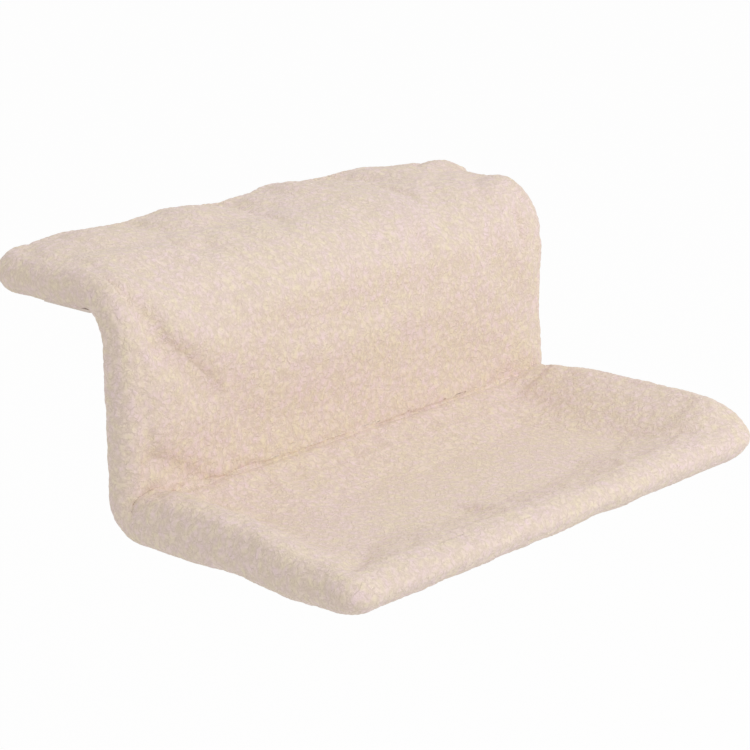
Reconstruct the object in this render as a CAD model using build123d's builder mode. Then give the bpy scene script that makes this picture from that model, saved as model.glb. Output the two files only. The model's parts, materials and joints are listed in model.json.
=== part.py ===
from build123d import *
from math import sqrt
import os

os.makedirs("parts", exist_ok=True)

# A fleece hammock bed that hangs on a radiator. A bent tube frame carries a padded cover.
# The origin is the middle of the radiator's top front edge: X runs along the radiator,
# +Y towards the wall and +Z up. All sizes are in millimetres.

# Driving sizes of the whole hammock
overall_width = 460
bed_depth = 208  # upright to front tube, centre to centre
flap_depth = 118  # upright to rear bar, centre to centre, at the shortest setting
panel_height = 158  # top run to bed arm, centre to centre
standoff = 8  # cover to the radiator's front
hook_travel = 40

# Clearances
seat_gap = 0.05  # pieces that are bolted, plugged or clipped together
slide_gap = 0.1  # round the sliding hook arms
turn_gap = 0.05  # round the thumb screws' threads
cloth_gap = 0.3  # between cloth and what it lies on
overrun = 2  # how far a cut runs past its face

# Steel tube of the frame
tube_diameter = 12
tube_wall = 1.2
top_bend = 34
bottom_bend = 18
corner_bend = 18
tube_bore = tube_diameter - 2 * tube_wall

# Fleece cover
fleece = 7.7
lining = 1.4
lining_inset = 2.5  # how far the linings lie in from the rolls
sheet_inset = 0.6  # how far the sheets between the rolls lie in from them
rest_flat = 1  # the flap's rolls are pressed flat on the radiator
seam_run = 2  # from the frame's bends to the seams of the back panel
inside = tube_diameter / 2 + cloth_gap
roll_radius = inside + fleece
sheet_outer = roll_radius - sheet_inset
sheet_inner = inside + sheet_inset
lining_outer = roll_radius - lining_inset
lining_inner = lining_outer - lining

# Grip strips under the flap
grip_thickness = 2
grip_width = 9
grip_length = 50
grip_start = 6  # from the radiator's front edge

# Places of the frame
side_x = overall_width / 2 - roll_radius
upright_y = -(standoff + roll_radius)
flap_underside = grip_thickness + cloth_gap
top_z = flap_underside + roll_radius - rest_flat
bed_z = top_z - panel_height
front_y = upright_y - bed_depth
rear_y = upright_y + flap_depth
flap_seam_y = upright_y + top_bend + seam_run
bed_seam_y = upright_y - bottom_bend - seam_run

# Hook tube, which slides in the side tubes
hook_diameter = tube_bore - 2 * slide_gap
hook_bend = 18
mouth_margin = 4  # from the side tube's mouth to the hook tube's bend
least_engagement = 18
mouth_y = rear_y - hook_bend - mouth_margin
arm_end_y = mouth_y - hook_travel - least_engagement

# Hook lip behind the radiator, with its foam sleeve
lip_diameter = 8
lip_drop = 44
lip_set = 14  # how far the lip leans in towards the radiator
lip_half_width = 80
lip_bend = 14
sleeve_wall = 4
sleeve_margin = 6
lip_y = rear_y - lip_set
lip_z = top_z - lip_drop

# Front tube, which plugs into the bed arms
front_leg = 24
swage_cone = 4
spigot_length = 30
spigot_diameter = tube_bore - 2 * seat_gap
spigot_bore = spigot_diameter - 2 * tube_wall
joint_y = front_y + corner_bend + front_leg
joint_screw_offset = 12
joint_screw_y = joint_y + joint_screw_offset

# Crossbars between the uprights
upper_bar_margin = 12  # below the top bend
lower_bar_margin = 24  # above the bottom bend
upper_bar_z = top_z - top_bend - upper_bar_margin
lower_bar_z = bed_z + bottom_bend + lower_bar_margin
insert_length = 18
insert_recess = 1

# Screws
bar_screw_diameter = 5
bar_screw_length = 26
joint_screw_diameter = 4
joint_screw_length = 7
bumper_screw_diameter = 4
bumper_screw_grip = 3  # how far it bites into the crossbar
screw_head_share = 1.8  # head's diameter over shank's
screw_head_height_share = 0.6
hex_share = 0.6  # hex socket over shank's diameter
hex_depth_share = 0.5
hole_gap = 0.2

# Clamp collars, with a square nut and a thumb screw each
collar_wall = 3
collar_length = 24
collar_lip = 2
boss_width = 14
boss_depth = 10
boss_round = 2
nut_width = 8
nut_thickness = 3.2
nut_gap = 0.1
nut_inset = 2.5  # from the boss's end
clamp_screw_diameter = 5
knob_thickness = 8
knob_diameter = tube_diameter  # as wide as the tube, so that it lies under the flap
knob_grooves = 12
knob_groove = 1.2
collar_radius = tube_diameter / 2 + collar_wall
collar_start_y = mouth_y + collar_lip - collar_length
clamp_y = collar_start_y + collar_length / 2 + collar_lip
boss_end_x = side_x - collar_radius - boss_depth

# Bumpers on the lower crossbar
bumper_place_share = 25 / 36  # of the way from the middle to an upright
bumper_x = side_x * bumper_place_share
bumper_width = 30
bumper_height = 20
bumper_round = 4
bumper_wrap = 3  # how far the seat reaches round the crossbar
counterbore_depth = 6
counterbore_gap = 0.6

# Closure strips of the cover, between the back lining's lower end and the bed lining
strip_width = 16
strip_thickness = 1.2
strip_inset = 30  # from the bed arms
strip_margin = 4

# Bed sheet, which is flat over the closure and sags from there to the front
bed_rim = 10  # sheet's top at the bed arms, above the arms' centre line
bed_sag = 14
bed_sag_shares = [(0, 0), (0.3, 0.8), (0.6, 1), (0.85, 0.75), (1, 0.4)]
flat_length = strip_width + 3 * strip_margin
bed_start = bed_seam_y - cloth_gap
sag_start_y = bed_start - flat_length
bed_lining_drop = lining_inner - 2 * strip_thickness - lining
wadding = bed_rim - fleece + bed_lining_drop - 2 * cloth_gap

# Padded sides of the bed, with their filling
bolster_half_width = 22
bolster_height = 28  # above the bed arms' centre line
bolster_base = bed_rim - fleece / 2
bolster_outer = sqrt(roll_radius**2 - bolster_base**2) - cloth_gap
bolster_length = 160
bolster_shares = [
    (0, 0.95, 0.92),
    (0.2, 1, 1),
    (0.5, 1, 0.98),
    (0.7, 0.86, 0.82),
    (0.87, 0.6, 0.48),
    (1, 0.36, 0.1),
]
filling_half_width = 9
filling_height = 7
filling_base = 14
filling_inset = 12  # from the bed arms' centre line
filling_start = 8  # from the bed's rear seam
filling_length = 90

# Folds of the cloth: across and along from one end to the other, then width and height.
# Along a fold the shares are of its run, its width and its height.
fold_width = 50
fold_height = 4.5
fold_sink = fleece / 3
fold_run_shares = [(0, 0.4, 0), (0.3, 0.9, 0.85), (0.62, 1, 1), (1, 0.4, 0)]
panel_fold_shares = [
    ((-0.88, 1), (-0.48, 0.24), 1, 1),
    ((-0.52, 0.5), (0.66, 0.62), 1.5, 0.7),
    ((0.46, 1), (0.92, 0.16), 1, 0.8),
]
flap_fold_shares = [
    ((-0.82, 0.1), (-0.66, 0.96), 1, 0.8),
    ((-0.42, 0.06), (-0.24, 0.98), 1, 1),
    ((0.06, 0.08), (0.22, 0.98), 1, 0.9),
    ((0.56, 0.12), (0.76, 0.96), 1, 0.7),
]

sides = {"left": -1, "right": 1}


def bent_tube(points, bends, outer, bore=0, mode=Mode.ADD):
    """A round tube or rod along straight runs joined by arcs."""
    with BuildLine() as run:
        FilletPolyline(*points, radius=bends)
    path = run.wire()
    with BuildSketch(Plane(path @ 0, z_dir=path % 0)) as section:
        Circle(outer / 2)
        if bore:
            Circle(bore / 2, mode=Mode.SUBTRACT)
    sweep(section.sketch, path=path, mode=mode)


def round_bar(plane, diameter, length, mode=Mode.ADD):
    """A straight round bar that starts on a plane."""
    with BuildSketch(plane) as section:
        Circle(diameter / 2)
    extrude(section.sketch, amount=length, mode=mode)


def block(low, high, mode=Mode.ADD):
    """A block between two corners."""
    (x0, y0, z0), (x1, y1, z1) = low, high
    with BuildSketch(Plane.XY.offset(z0)) as section:
        with Locations(((x0 + x1) / 2, (y0 + y1) / 2)):
            Rectangle(x1 - x0, y1 - y0)
    extrude(section.sketch, amount=z1 - z0, mode=mode)


def cap_screw(plane, diameter, length):
    """A hex socket screw: the plane is under its head and points along its shank."""
    head_height = diameter * screw_head_height_share
    round_bar(plane, diameter, length)
    round_bar(plane.offset(-head_height), diameter * screw_head_share, head_height)
    with BuildSketch(plane.offset(-head_height)) as socket:
        RegularPolygon(diameter * hex_share, side_count=6)
    extrude(socket.sketch, amount=diameter * hex_depth_share, mode=Mode.SUBTRACT)


def side_points(x, start_y=mouth_y, end_y=joint_y):
    """The side tube's centre line: top run, upright and bed arm."""
    return [(x, start_y, top_z), (x, upright_y, top_z), (x, upright_y, bed_z), (x, end_y, bed_z)]


def panel_line(offset, end_y):
    """The side tube's line seen from the side, moved out by an offset, and its bends."""
    points = [
        (flap_seam_y, top_z + offset),
        (upright_y - offset, top_z + offset),
        (upright_y - offset, bed_z + offset),
        (end_y, bed_z + offset),
    ]
    return points, [top_bend + offset, bottom_bend - offset]


def panel_sheet(outer, inner, half_width, end_y):
    """A sheet of cloth that follows the side tubes over the top bend and down to the bed."""
    outer_points, outer_bends = panel_line(outer, end_y)
    inner_points, inner_bends = panel_line(inner, end_y)
    with BuildSketch(Plane.YZ) as profile:
        with BuildLine():
            outer_line = FilletPolyline(*outer_points, radius=outer_bends)
            inner_line = FilletPolyline(*inner_points, radius=inner_bends)
            Line(outer_line @ 0, inner_line @ 0)
            Line(outer_line @ 1, inner_line @ 1)
        make_face()
    extrude(profile.sketch, amount=half_width, both=True)


def bed_sheet(top, thickness):
    """A sheet hung between the bed arms: flat at the back, then deepest in its middle."""
    block((-side_x, sag_start_y, top - thickness), (side_x, bed_start, top))
    sections = []
    for length_share, sag_share in bed_sag_shares:
        y = sag_start_y + (front_y - sag_start_y) * length_share
        middle = top - bed_sag * sag_share
        with BuildSketch(Plane.XZ.offset(-y)) as section:
            with BuildLine():
                for drop in (0, thickness):
                    ends = (-side_x, top - drop), (side_x, top - drop)
                    if sag_share:
                        ThreePointArc(ends[0], (0, middle - drop), ends[1])
                    else:
                        Line(*ends)
                for x in (-side_x, side_x):
                    Line((x, top), (x, top - thickness))
            make_face()
        sections.append(section.sketch)
    loft(sections)


def padded_ridge(stations):
    """A long soft ridge: each station is its y, middle x, base z, half width and height."""
    crown_share = sqrt(0.5)
    sections = []
    for y, x, base, half_width, height in stations:
        shoulder = height * crown_share
        with BuildSketch(Plane.XZ.offset(-y)) as section:
            with BuildLine():
                top = (x, base + height)
                ThreePointArc((x - half_width, base), (x - half_width * crown_share, base + shoulder), top)
                ThreePointArc(top, (x + half_width * crown_share, base + shoulder), (x + half_width, base))
                Line((x + half_width, base), (x - half_width, base))
            make_face()
        sections.append(section.sketch)
    loft(sections)


def cloth_folds(face, reach, fold_shares):
    """Soft ridges of folded cloth on a face; reach is the face's half width and its length."""
    for start, end, width_share, height_share in fold_shares:
        first = face.from_local_coords((start[0] * reach[0], start[1] * reach[1], 0))
        last = face.from_local_coords((end[0] * reach[0], end[1] * reach[1], 0))
        along = last - first
        across = face.z_dir.cross(along)
        half_width = fold_width * width_share / 2
        sections = []
        for run_share, spread_share, rise_share in fold_run_shares:
            rise = (fold_height * height_share + fold_sink / 2) * rise_share - fold_sink / 2
            foot = half_width * spread_share
            with BuildSketch(Plane(first + along * run_share, x_dir=across, z_dir=along)) as section:
                with BuildLine():
                    ThreePointArc((-foot, -fold_sink), (0, rise), (foot, -fold_sink))
                    Line((foot, -fold_sink), (-foot, -fold_sink))
                make_face()
            sections.append(section.sketch)
        loft(sections)


def filling_roll(sign, room=0, mode=Mode.ADD):
    """The filling roll in a padded side, or the room for it."""
    start_y = bed_start - filling_start + room
    half_width = filling_half_width + room
    start = (sign * (side_x - filling_inset), start_y, bed_z + filling_base - room)
    with BuildSketch(Plane(start, x_dir=(1, 0, 0), z_dir=(0, -1, 0))) as section:
        with BuildLine():
            ThreePointArc((-half_width, 0), (0, filling_height + 2 * room), (half_width, 0))
            Line((half_width, 0), (-half_width, 0))
        make_face()
    extrude(section.sketch, amount=filling_length + 2 * room, mode=mode)


# Side tubes
for side, sign in sides.items():
    x = sign * side_x
    with BuildPart() as side_tube:
        bent_tube(side_points(x), [top_bend, bottom_bend], tube_diameter, tube_bore)
        for bar_z in (upper_bar_z, lower_bar_z):
            hole_plane = Plane.YZ.offset(x - tube_diameter).shift_origin((x - tube_diameter, upright_y, bar_z))
            round_bar(hole_plane, bar_screw_diameter + 2 * hole_gap, 2 * tube_diameter, Mode.SUBTRACT)
        clamp_plane = Plane((x, clamp_y, top_z), z_dir=(-sign, 0, 0))
        round_bar(clamp_plane, clamp_screw_diameter + 2 * hole_gap, tube_diameter, Mode.SUBTRACT)
        joint_plane = Plane((x, joint_screw_y, bed_z), z_dir=(0, 0, -1))
        round_bar(joint_plane, joint_screw_diameter + 2 * seat_gap, tube_diameter, Mode.SUBTRACT)
    side_tube.part.label = f"side_tube_{side}"
    export_step(side_tube.part, f"parts/side_tube_{side}.step")

# Front tube, with its ends drawn down to plug into the bed arms
cone_start_y = joint_y - seat_gap - swage_cone
with BuildPart() as front_tube:
    bent_tube(
        [
            (-side_x, cone_start_y, bed_z),
            (-side_x, front_y, bed_z),
            (side_x, front_y, bed_z),
            (side_x, cone_start_y, bed_z),
        ],
        corner_bend,
        tube_diameter,
        tube_bore,
    )
    for sign in sides.values():
        with BuildSketch(Plane.XY.offset(bed_z)) as swage:
            with BuildLine():
                Polyline(
                    (sign * side_x + tube_bore / 2, cone_start_y),
                    (sign * side_x + tube_diameter / 2, cone_start_y),
                    (sign * side_x + spigot_diameter / 2, cone_start_y + swage_cone),
                    (sign * side_x + spigot_diameter / 2, joint_y + spigot_length),
                    (sign * side_x + spigot_bore / 2, joint_y + spigot_length),
                    (sign * side_x + spigot_bore / 2, cone_start_y + swage_cone),
                    close=True,
                )
            make_face()
        revolve(swage.sketch, axis=Axis((sign * side_x, 0, bed_z), (0, 1, 0)))
        joint_plane = Plane((sign * side_x, joint_screw_y, bed_z), z_dir=(0, 0, -1))
        round_bar(joint_plane, joint_screw_diameter + 2 * seat_gap, tube_diameter, Mode.SUBTRACT)
front_tube.part.label = "front_tube"
export_step(front_tube.part, "parts/front_tube.step")

# Crossbars, coped to sit against the uprights
with BuildPart() as upper_crossbar:
    with BuildSketch(Plane((-side_x, upright_y, upper_bar_z), z_dir=(1, 0, 0))) as section:
        Circle(tube_diameter / 2)
        Circle(tube_bore / 2, mode=Mode.SUBTRACT)
    extrude(section.sketch, amount=2 * side_x)
    for sign in sides.values():
        cope_plane = Plane((sign * side_x, upright_y, upper_bar_z - tube_diameter), z_dir=(0, 0, 1))
        round_bar(cope_plane, tube_diameter + 2 * seat_gap, 2 * tube_diameter, Mode.SUBTRACT)
upper_crossbar.part.label = "upper_crossbar"
export_step(upper_crossbar.part, "parts/upper_crossbar.step")

with BuildPart() as lower_crossbar:
    with BuildSketch(Plane((-side_x, upright_y, lower_bar_z), z_dir=(1, 0, 0))) as section:
        Circle(tube_diameter / 2)
        Circle(tube_bore / 2, mode=Mode.SUBTRACT)
    extrude(section.sketch, amount=2 * side_x)
    for sign in sides.values():
        cope_plane = Plane((sign * side_x, upright_y, lower_bar_z - tube_diameter), z_dir=(0, 0, 1))
        round_bar(cope_plane, tube_diameter + 2 * seat_gap, 2 * tube_diameter, Mode.SUBTRACT)
        screw_plane = Plane((sign * bumper_x, upright_y, lower_bar_z), z_dir=(0, 1, 0))
        round_bar(screw_plane, bumper_screw_diameter + 2 * seat_gap, tube_diameter, Mode.SUBTRACT)
lower_crossbar.part.label = "lower_crossbar"
export_step(lower_crossbar.part, "parts/lower_crossbar.step")

# Threaded inserts in the crossbars' ends
insert_start = side_x - tube_diameter / 2 - insert_recess
with BuildPart() as crossbar_inserts:
    for sign in sides.values():
        for bar_z in (upper_bar_z, lower_bar_z):
            insert_plane = Plane((sign * insert_start, upright_y, bar_z), z_dir=(-sign, 0, 0))
            with BuildSketch(insert_plane) as section:
                Circle(tube_bore / 2 - seat_gap)
                Circle(bar_screw_diameter / 2 + seat_gap, mode=Mode.SUBTRACT)
            extrude(section.sketch, amount=insert_length)
crossbar_inserts.part.label = "crossbar_inserts"
export_step(crossbar_inserts.part, "parts/crossbar_inserts.step")

with BuildPart() as crossbar_screws:
    for sign in sides.values():
        for bar_z in (upper_bar_z, lower_bar_z):
            head_x = side_x + tube_diameter / 2 + seat_gap
            head_plane = Plane((sign * head_x, upright_y, bar_z), z_dir=(-sign, 0, 0))
            cap_screw(head_plane, bar_screw_diameter, bar_screw_length)
crossbar_screws.part.label = "crossbar_screws"
export_step(crossbar_screws.part, "parts/crossbar_screws.step")

with BuildPart() as front_joint_screws:
    for sign in sides.values():
        head_z = bed_z - tube_diameter / 2 - seat_gap
        head_plane = Plane((sign * side_x, joint_screw_y, head_z), z_dir=(0, 0, 1))
        cap_screw(head_plane, joint_screw_diameter, joint_screw_length)
front_joint_screws.part.label = "front_joint_screws"
export_step(front_joint_screws.part, "parts/front_joint_screws.step")

# Hook tube, a U whose arms slide in the side tubes
hook_points = [
    (-side_x, arm_end_y, top_z),
    (-side_x, rear_y, top_z),
    (side_x, rear_y, top_z),
    (side_x, arm_end_y, top_z),
]
with BuildPart() as hook_tube:
    bent_tube(hook_points, hook_bend, hook_diameter, hook_diameter - 2 * tube_wall)
hook_tube.part.label = "hook_tube"
export_step(hook_tube.part, "parts/hook_tube.step")

# Hook lip, a bent rod that is coped to the rear bar and grips behind the radiator
rear_bar_plane = Plane((-side_x, rear_y, top_z), z_dir=(1, 0, 0))
with BuildPart() as hook_lip:
    bent_tube(
        [
            (-lip_half_width, rear_y, top_z),
            (-lip_half_width, lip_y, lip_z),
            (lip_half_width, lip_y, lip_z),
            (lip_half_width, rear_y, top_z),
        ],
        lip_bend,
        lip_diameter,
    )
    round_bar(rear_bar_plane, hook_diameter + 2 * seat_gap, 2 * side_x, Mode.SUBTRACT)
hook_lip.part.label = "hook_lip"
export_step(hook_lip.part, "parts/hook_lip.step")

sleeve_start = lip_half_width - lip_bend - sleeve_margin
with BuildPart() as lip_sleeve:
    with BuildSketch(Plane((-sleeve_start, lip_y, lip_z), z_dir=(1, 0, 0))) as section:
        Circle(lip_diameter / 2 + seat_gap + sleeve_wall)
        Circle(lip_diameter / 2 + seat_gap, mode=Mode.SUBTRACT)
    extrude(section.sketch, amount=2 * sleeve_start)
lip_sleeve.part.label = "lip_sleeve"
export_step(lip_sleeve.part, "parts/lip_sleeve.step")

# Clamp collars on the side tubes' mouths
nut_x = boss_end_x + nut_inset
for side, sign in sides.items():
    with BuildPart() as clamp_collar:
        with BuildSketch(Plane((sign * side_x, collar_start_y, top_z), z_dir=(0, 1, 0))) as section:
            Circle(collar_radius)
        extrude(section.sketch, amount=collar_length)
        boss_plane = Plane((sign * side_x, clamp_y, top_z), x_dir=(0, 1, 0), z_dir=(-sign, 0, 0))
        with BuildSketch(boss_plane) as boss:
            RectangleRounded(boss_width, tube_diameter, boss_round)
        extrude(boss.sketch, amount=collar_radius + boss_depth)
        bore_plane = Plane((sign * side_x, collar_start_y, top_z), z_dir=(0, 1, 0))
        round_bar(bore_plane, tube_diameter + 2 * seat_gap, collar_length - collar_lip, Mode.SUBTRACT)
        round_bar(bore_plane, hook_diameter + 2 * cloth_gap, collar_length, Mode.SUBTRACT)
        screw_plane = Plane((sign * side_x, clamp_y, top_z), z_dir=(-sign, 0, 0))
        screw_hole = clamp_screw_diameter + 2 * hole_gap
        round_bar(screw_plane, screw_hole, collar_radius + boss_depth, Mode.SUBTRACT)
        pocket = sorted([sign * (nut_x - nut_gap), sign * (nut_x + nut_thickness + nut_gap)])
        block(
            (pocket[0], clamp_y - nut_width / 2 - nut_gap, top_z - tube_diameter),
            (pocket[1], clamp_y + nut_width / 2 + nut_gap, top_z + nut_width / 2 + nut_gap),
            Mode.SUBTRACT,
        )
    clamp_collar.part.label = f"clamp_collar_{side}"
    export_step(clamp_collar.part, f"parts/clamp_collar_{side}.step")

with BuildPart() as clamp_nuts:
    for sign in sides.values():
        with BuildSketch(Plane((sign * nut_x, clamp_y, top_z), z_dir=(sign, 0, 0))) as nut:
            Rectangle(nut_width, nut_width)
            Circle(clamp_screw_diameter / 2 + turn_gap, mode=Mode.SUBTRACT)
        extrude(nut.sketch, amount=nut_thickness)
clamp_nuts.part.label = "clamp_nuts"
export_step(clamp_nuts.part, "parts/clamp_nuts.step")

# Thumb screws, whose tips press on the hook tube's arms
tip_x = side_x - hook_diameter / 2 - cloth_gap
knob_x = boss_end_x - cloth_gap
for side, sign in sides.items():
    with BuildPart() as thumb_screw:
        knob_plane = Plane((sign * knob_x, clamp_y, top_z), z_dir=(-sign, 0, 0))
        with BuildSketch(knob_plane) as knob:
            Circle(knob_diameter / 2)
            with PolarLocations(knob_diameter / 2, knob_grooves):
                Circle(knob_groove / 2, mode=Mode.SUBTRACT)
        extrude(knob.sketch, amount=knob_thickness)
        shank_plane = Plane((sign * knob_x, clamp_y, top_z), z_dir=(sign, 0, 0))
        round_bar(shank_plane, clamp_screw_diameter, tip_x - knob_x)
    thumb_screw.part.label = f"thumb_screw_{side}"
    export_step(thumb_screw.part, f"parts/thumb_screw_{side}.step")

# Rubber bumpers, seated on the lower crossbar and screwed to it
bumper_screw_head = bumper_screw_diameter * screw_head_share
for side, sign in sides.items():
    with BuildPart() as bumper:
        face_plane = Plane((sign * bumper_x, 0, lower_bar_z), x_dir=(1, 0, 0), z_dir=(0, -1, 0))
        with BuildSketch(face_plane) as face:
            RectangleRounded(bumper_width, bumper_height, bumper_round)
        extrude(face.sketch, amount=-upright_y - tube_diameter / 2 + bumper_wrap)
        seat_plane = Plane((sign * bumper_x - bumper_width, upright_y, lower_bar_z), z_dir=(1, 0, 0))
        round_bar(seat_plane, tube_diameter + 2 * seat_gap, 2 * bumper_width, Mode.SUBTRACT)
        hole_plane = Plane((sign * bumper_x, 0, lower_bar_z), z_dir=(0, -1, 0))
        round_bar(hole_plane, bumper_screw_head + 2 * counterbore_gap, counterbore_depth, Mode.SUBTRACT)
        round_bar(hole_plane, bumper_screw_diameter + 2 * hole_gap, -upright_y, Mode.SUBTRACT)
    bumper.part.label = f"bumper_{side}"
    export_step(bumper.part, f"parts/bumper_{side}.step")

bumper_screw_length = -upright_y - tube_diameter / 2 - counterbore_depth + bumper_screw_grip
with BuildPart() as bumper_screws:
    for sign in sides.values():
        head_y = -counterbore_depth + seat_gap
        head_plane = Plane((sign * bumper_x, head_y, lower_bar_z), z_dir=(0, -1, 0))
        cap_screw(head_plane, bumper_screw_diameter, bumper_screw_length)
bumper_screws.part.label = "bumper_screws"
export_step(bumper_screws.part, "parts/bumper_screws.step")

# Grip strips that lie between the flap's rolls and the radiator's top
for side, sign in sides.items():
    with BuildPart() as grip_strip:
        with BuildSketch(Plane.XY) as outline:
            with Locations((sign * side_x, grip_start + grip_length / 2)):
                RectangleRounded(grip_width, grip_length, grip_width / 3)
        extrude(outline.sketch, amount=grip_thickness)
    grip_strip.part.label = f"grip_strip_{side}"
    export_step(grip_strip.part, f"parts/grip_strip_{side}.step")

# Flap fleece: a roll round the side runs and the rear bar, with the top sheet between them
flap_start = flap_seam_y + cloth_gap
with BuildPart() as flap_fleece:
    roll_points = [
        (-side_x, flap_start, top_z),
        (-side_x, rear_y, top_z),
        (side_x, rear_y, top_z),
        (side_x, flap_start, top_z),
    ]
    bent_tube(roll_points, hook_bend, 2 * roll_radius)
    with BuildSketch(Plane.XY.offset(top_z + sheet_inner)) as sheet:
        with Locations((0, (flap_start + rear_y) / 2)):
            Rectangle(2 * side_x, rear_y - flap_start)
        fillet(sheet.vertices().group_by(Axis.Y)[-1], radius=hook_bend)
    extrude(sheet.sketch, amount=sheet_outer - sheet_inner)
    flap_face = Plane((0, flap_start, top_z + sheet_outer), x_dir=(1, 0, 0), z_dir=(0, 0, 1))
    cloth_folds(flap_face, (side_x, rear_y - flap_start), flap_fold_shares)
    block(
        (-side_x - roll_radius, flap_start - overrun, top_z - 2 * roll_radius),
        (side_x + roll_radius, rear_y + roll_radius, flap_underside),
        Mode.SUBTRACT,
    )
    block(
        (-side_x, flap_start - fold_width, top_z),
        (side_x, flap_start, top_z + 2 * roll_radius),
        Mode.SUBTRACT,
    )
    for sign in sides.values():
        run_plane = Plane((sign * side_x, flap_start - overrun, top_z), z_dir=(0, 1, 0))
        round_bar(run_plane, 2 * inside, mouth_y - flap_start + overrun, Mode.SUBTRACT)
        collar_plane = Plane((sign * side_x, collar_start_y - cloth_gap, top_z), z_dir=(0, 1, 0))
        collar_space = 2 * (collar_radius + cloth_gap)
        round_bar(collar_plane, collar_space, collar_length + 2 * cloth_gap, Mode.SUBTRACT)
        boss_space = sorted([sign * side_x, sign * (side_x - 2 * roll_radius)])
        block(
            (boss_space[0], clamp_y - boss_width / 2 - cloth_gap, top_z - inside),
            (boss_space[1], clamp_y + boss_width / 2 + cloth_gap, top_z + inside),
            Mode.SUBTRACT,
        )
        leg_plane = Plane((sign * lip_half_width, rear_y, top_z), z_dir=(0, lip_y - rear_y, lip_z - top_z))
        round_bar(leg_plane, lip_diameter + 2 * cloth_gap, 2 * roll_radius, Mode.SUBTRACT)
    bent_tube(hook_points, hook_bend, hook_diameter + 2 * cloth_gap, mode=Mode.SUBTRACT)
flap_fleece.part.label = "flap_fleece"
export_step(flap_fleece.part, "parts/flap_fleece.step")

# Flap lining, with openings below the thumb screws
access_width = 2 * knob_diameter
access_length = 2 * boss_width
with BuildPart() as flap_lining:
    block(
        (-side_x, flap_start, top_z - lining_outer),
        (side_x, rear_y, top_z - lining_inner),
    )
    bent_tube(roll_points, hook_bend, 2 * (roll_radius + cloth_gap), mode=Mode.SUBTRACT)
    for sign in sides.values():
        with BuildSketch(Plane.XY.offset(top_z - lining_outer)) as access:
            with Locations((sign * knob_x, clamp_y)):
                RectangleRounded(access_width, access_length, boss_round)
        extrude(access.sketch, amount=lining, mode=Mode.SUBTRACT)
flap_lining.part.label = "flap_lining"
export_step(flap_lining.part, "parts/flap_lining.step")

# Back fleece: rolls round the uprights and the front wall of the back panel
with BuildPart() as back_fleece:
    panel_sheet(sheet_outer, sheet_inner, side_x, bed_seam_y)
    for sign in sides.values():
        run = side_points(sign * side_x, flap_seam_y, bed_seam_y)
        bent_tube(run, [top_bend, bottom_bend], 2 * roll_radius)
    panel_foot_z = bed_z + bottom_bend
    panel_face = Plane((0, upright_y - sheet_outer, panel_foot_z), x_dir=(1, 0, 0), z_dir=(0, -1, 0))
    cloth_folds(panel_face, (side_x, top_z - top_bend - panel_foot_z), panel_fold_shares)
    for sign in sides.values():
        run = side_points(sign * side_x, flap_seam_y + overrun, bed_seam_y - overrun)
        bent_tube(run, [top_bend, bottom_bend], 2 * inside, mode=Mode.SUBTRACT)
        for bar_z in (upper_bar_z, lower_bar_z):
            head_reach = tube_diameter / 2 + bar_screw_diameter * screw_head_height_share + cloth_gap
            head_plane = Plane((sign * side_x, upright_y, bar_z), z_dir=(sign, 0, 0))
            head_space = bar_screw_diameter * screw_head_share + 2 * cloth_gap
            round_bar(head_plane, head_space, head_reach, Mode.SUBTRACT)
    for bar_z in (upper_bar_z, lower_bar_z):
        bar_plane = Plane((-side_x, upright_y, bar_z), z_dir=(1, 0, 0))
        round_bar(bar_plane, 2 * inside + cloth_gap, 2 * side_x, Mode.SUBTRACT)
    block(
        (-side_x - roll_radius, 0, top_z - 2 * top_bend),
        (side_x + roll_radius, flap_seam_y + overrun, flap_underside),
        Mode.SUBTRACT,
    )
back_fleece.part.label = "back_fleece"
export_step(back_fleece.part, "parts/back_fleece.step")

# Back lining, with slots for the bumpers; its lower end lies under the bed lining
with BuildPart() as back_lining:
    panel_sheet(-lining_inner, -lining_outer, side_x, sag_start_y)
    for sign in sides.values():
        run = side_points(sign * side_x, flap_seam_y + overrun, sag_start_y - overrun)
        bent_tube(run, [top_bend, bottom_bend], 2 * (roll_radius + cloth_gap), mode=Mode.SUBTRACT)
        slot_plane = Plane((sign * bumper_x, 0, lower_bar_z), x_dir=(1, 0, 0), z_dir=(0, -1, 0))
        with BuildSketch(slot_plane) as slot:
            RectangleRounded(
                bumper_width + 2 * cloth_gap, bumper_height + 2 * cloth_gap, bumper_round + cloth_gap
            )
        extrude(slot.sketch, amount=-upright_y, mode=Mode.SUBTRACT)
back_lining.part.label = "back_lining"
export_step(back_lining.part, "parts/back_lining.step")

# Bed fleece: a roll round the arms and the front tube, padded sides and the sagging sheet
bed_points = [
    (-side_x, bed_start, bed_z),
    (-side_x, front_y, bed_z),
    (side_x, front_y, bed_z),
    (side_x, bed_start, bed_z),
]
with BuildPart() as bed_fleece:
    bent_tube(bed_points, corner_bend, 2 * roll_radius)
    bed_sheet(bed_z + bed_rim, fleece)
    for sign in sides.values():
        stations = []
        for length_share, width_share, height_share in bolster_shares:
            half_width = bolster_half_width * width_share
            x = sign * (side_x + bolster_outer - half_width)
            height = (bolster_height - bolster_base) * height_share
            y = bed_start - bolster_length * length_share
            stations.append((y, x, bed_z + bolster_base, half_width, height))
        padded_ridge(stations)
    for sign in sides.values():
        filling_roll(sign, cloth_gap, Mode.SUBTRACT)
        screw_plane = Plane((sign * side_x, joint_screw_y, bed_z), z_dir=(0, 0, -1))
        head_space = joint_screw_diameter * screw_head_share + 2 * cloth_gap
        head_reach = tube_diameter / 2 + joint_screw_diameter * screw_head_height_share + cloth_gap
        round_bar(screw_plane, head_space, head_reach, Mode.SUBTRACT)
    bent_tube(bed_points, corner_bend, 2 * inside, mode=Mode.SUBTRACT)
bed_fleece.part.label = "bed_fleece"
export_step(bed_fleece.part, "parts/bed_fleece.step")

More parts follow.
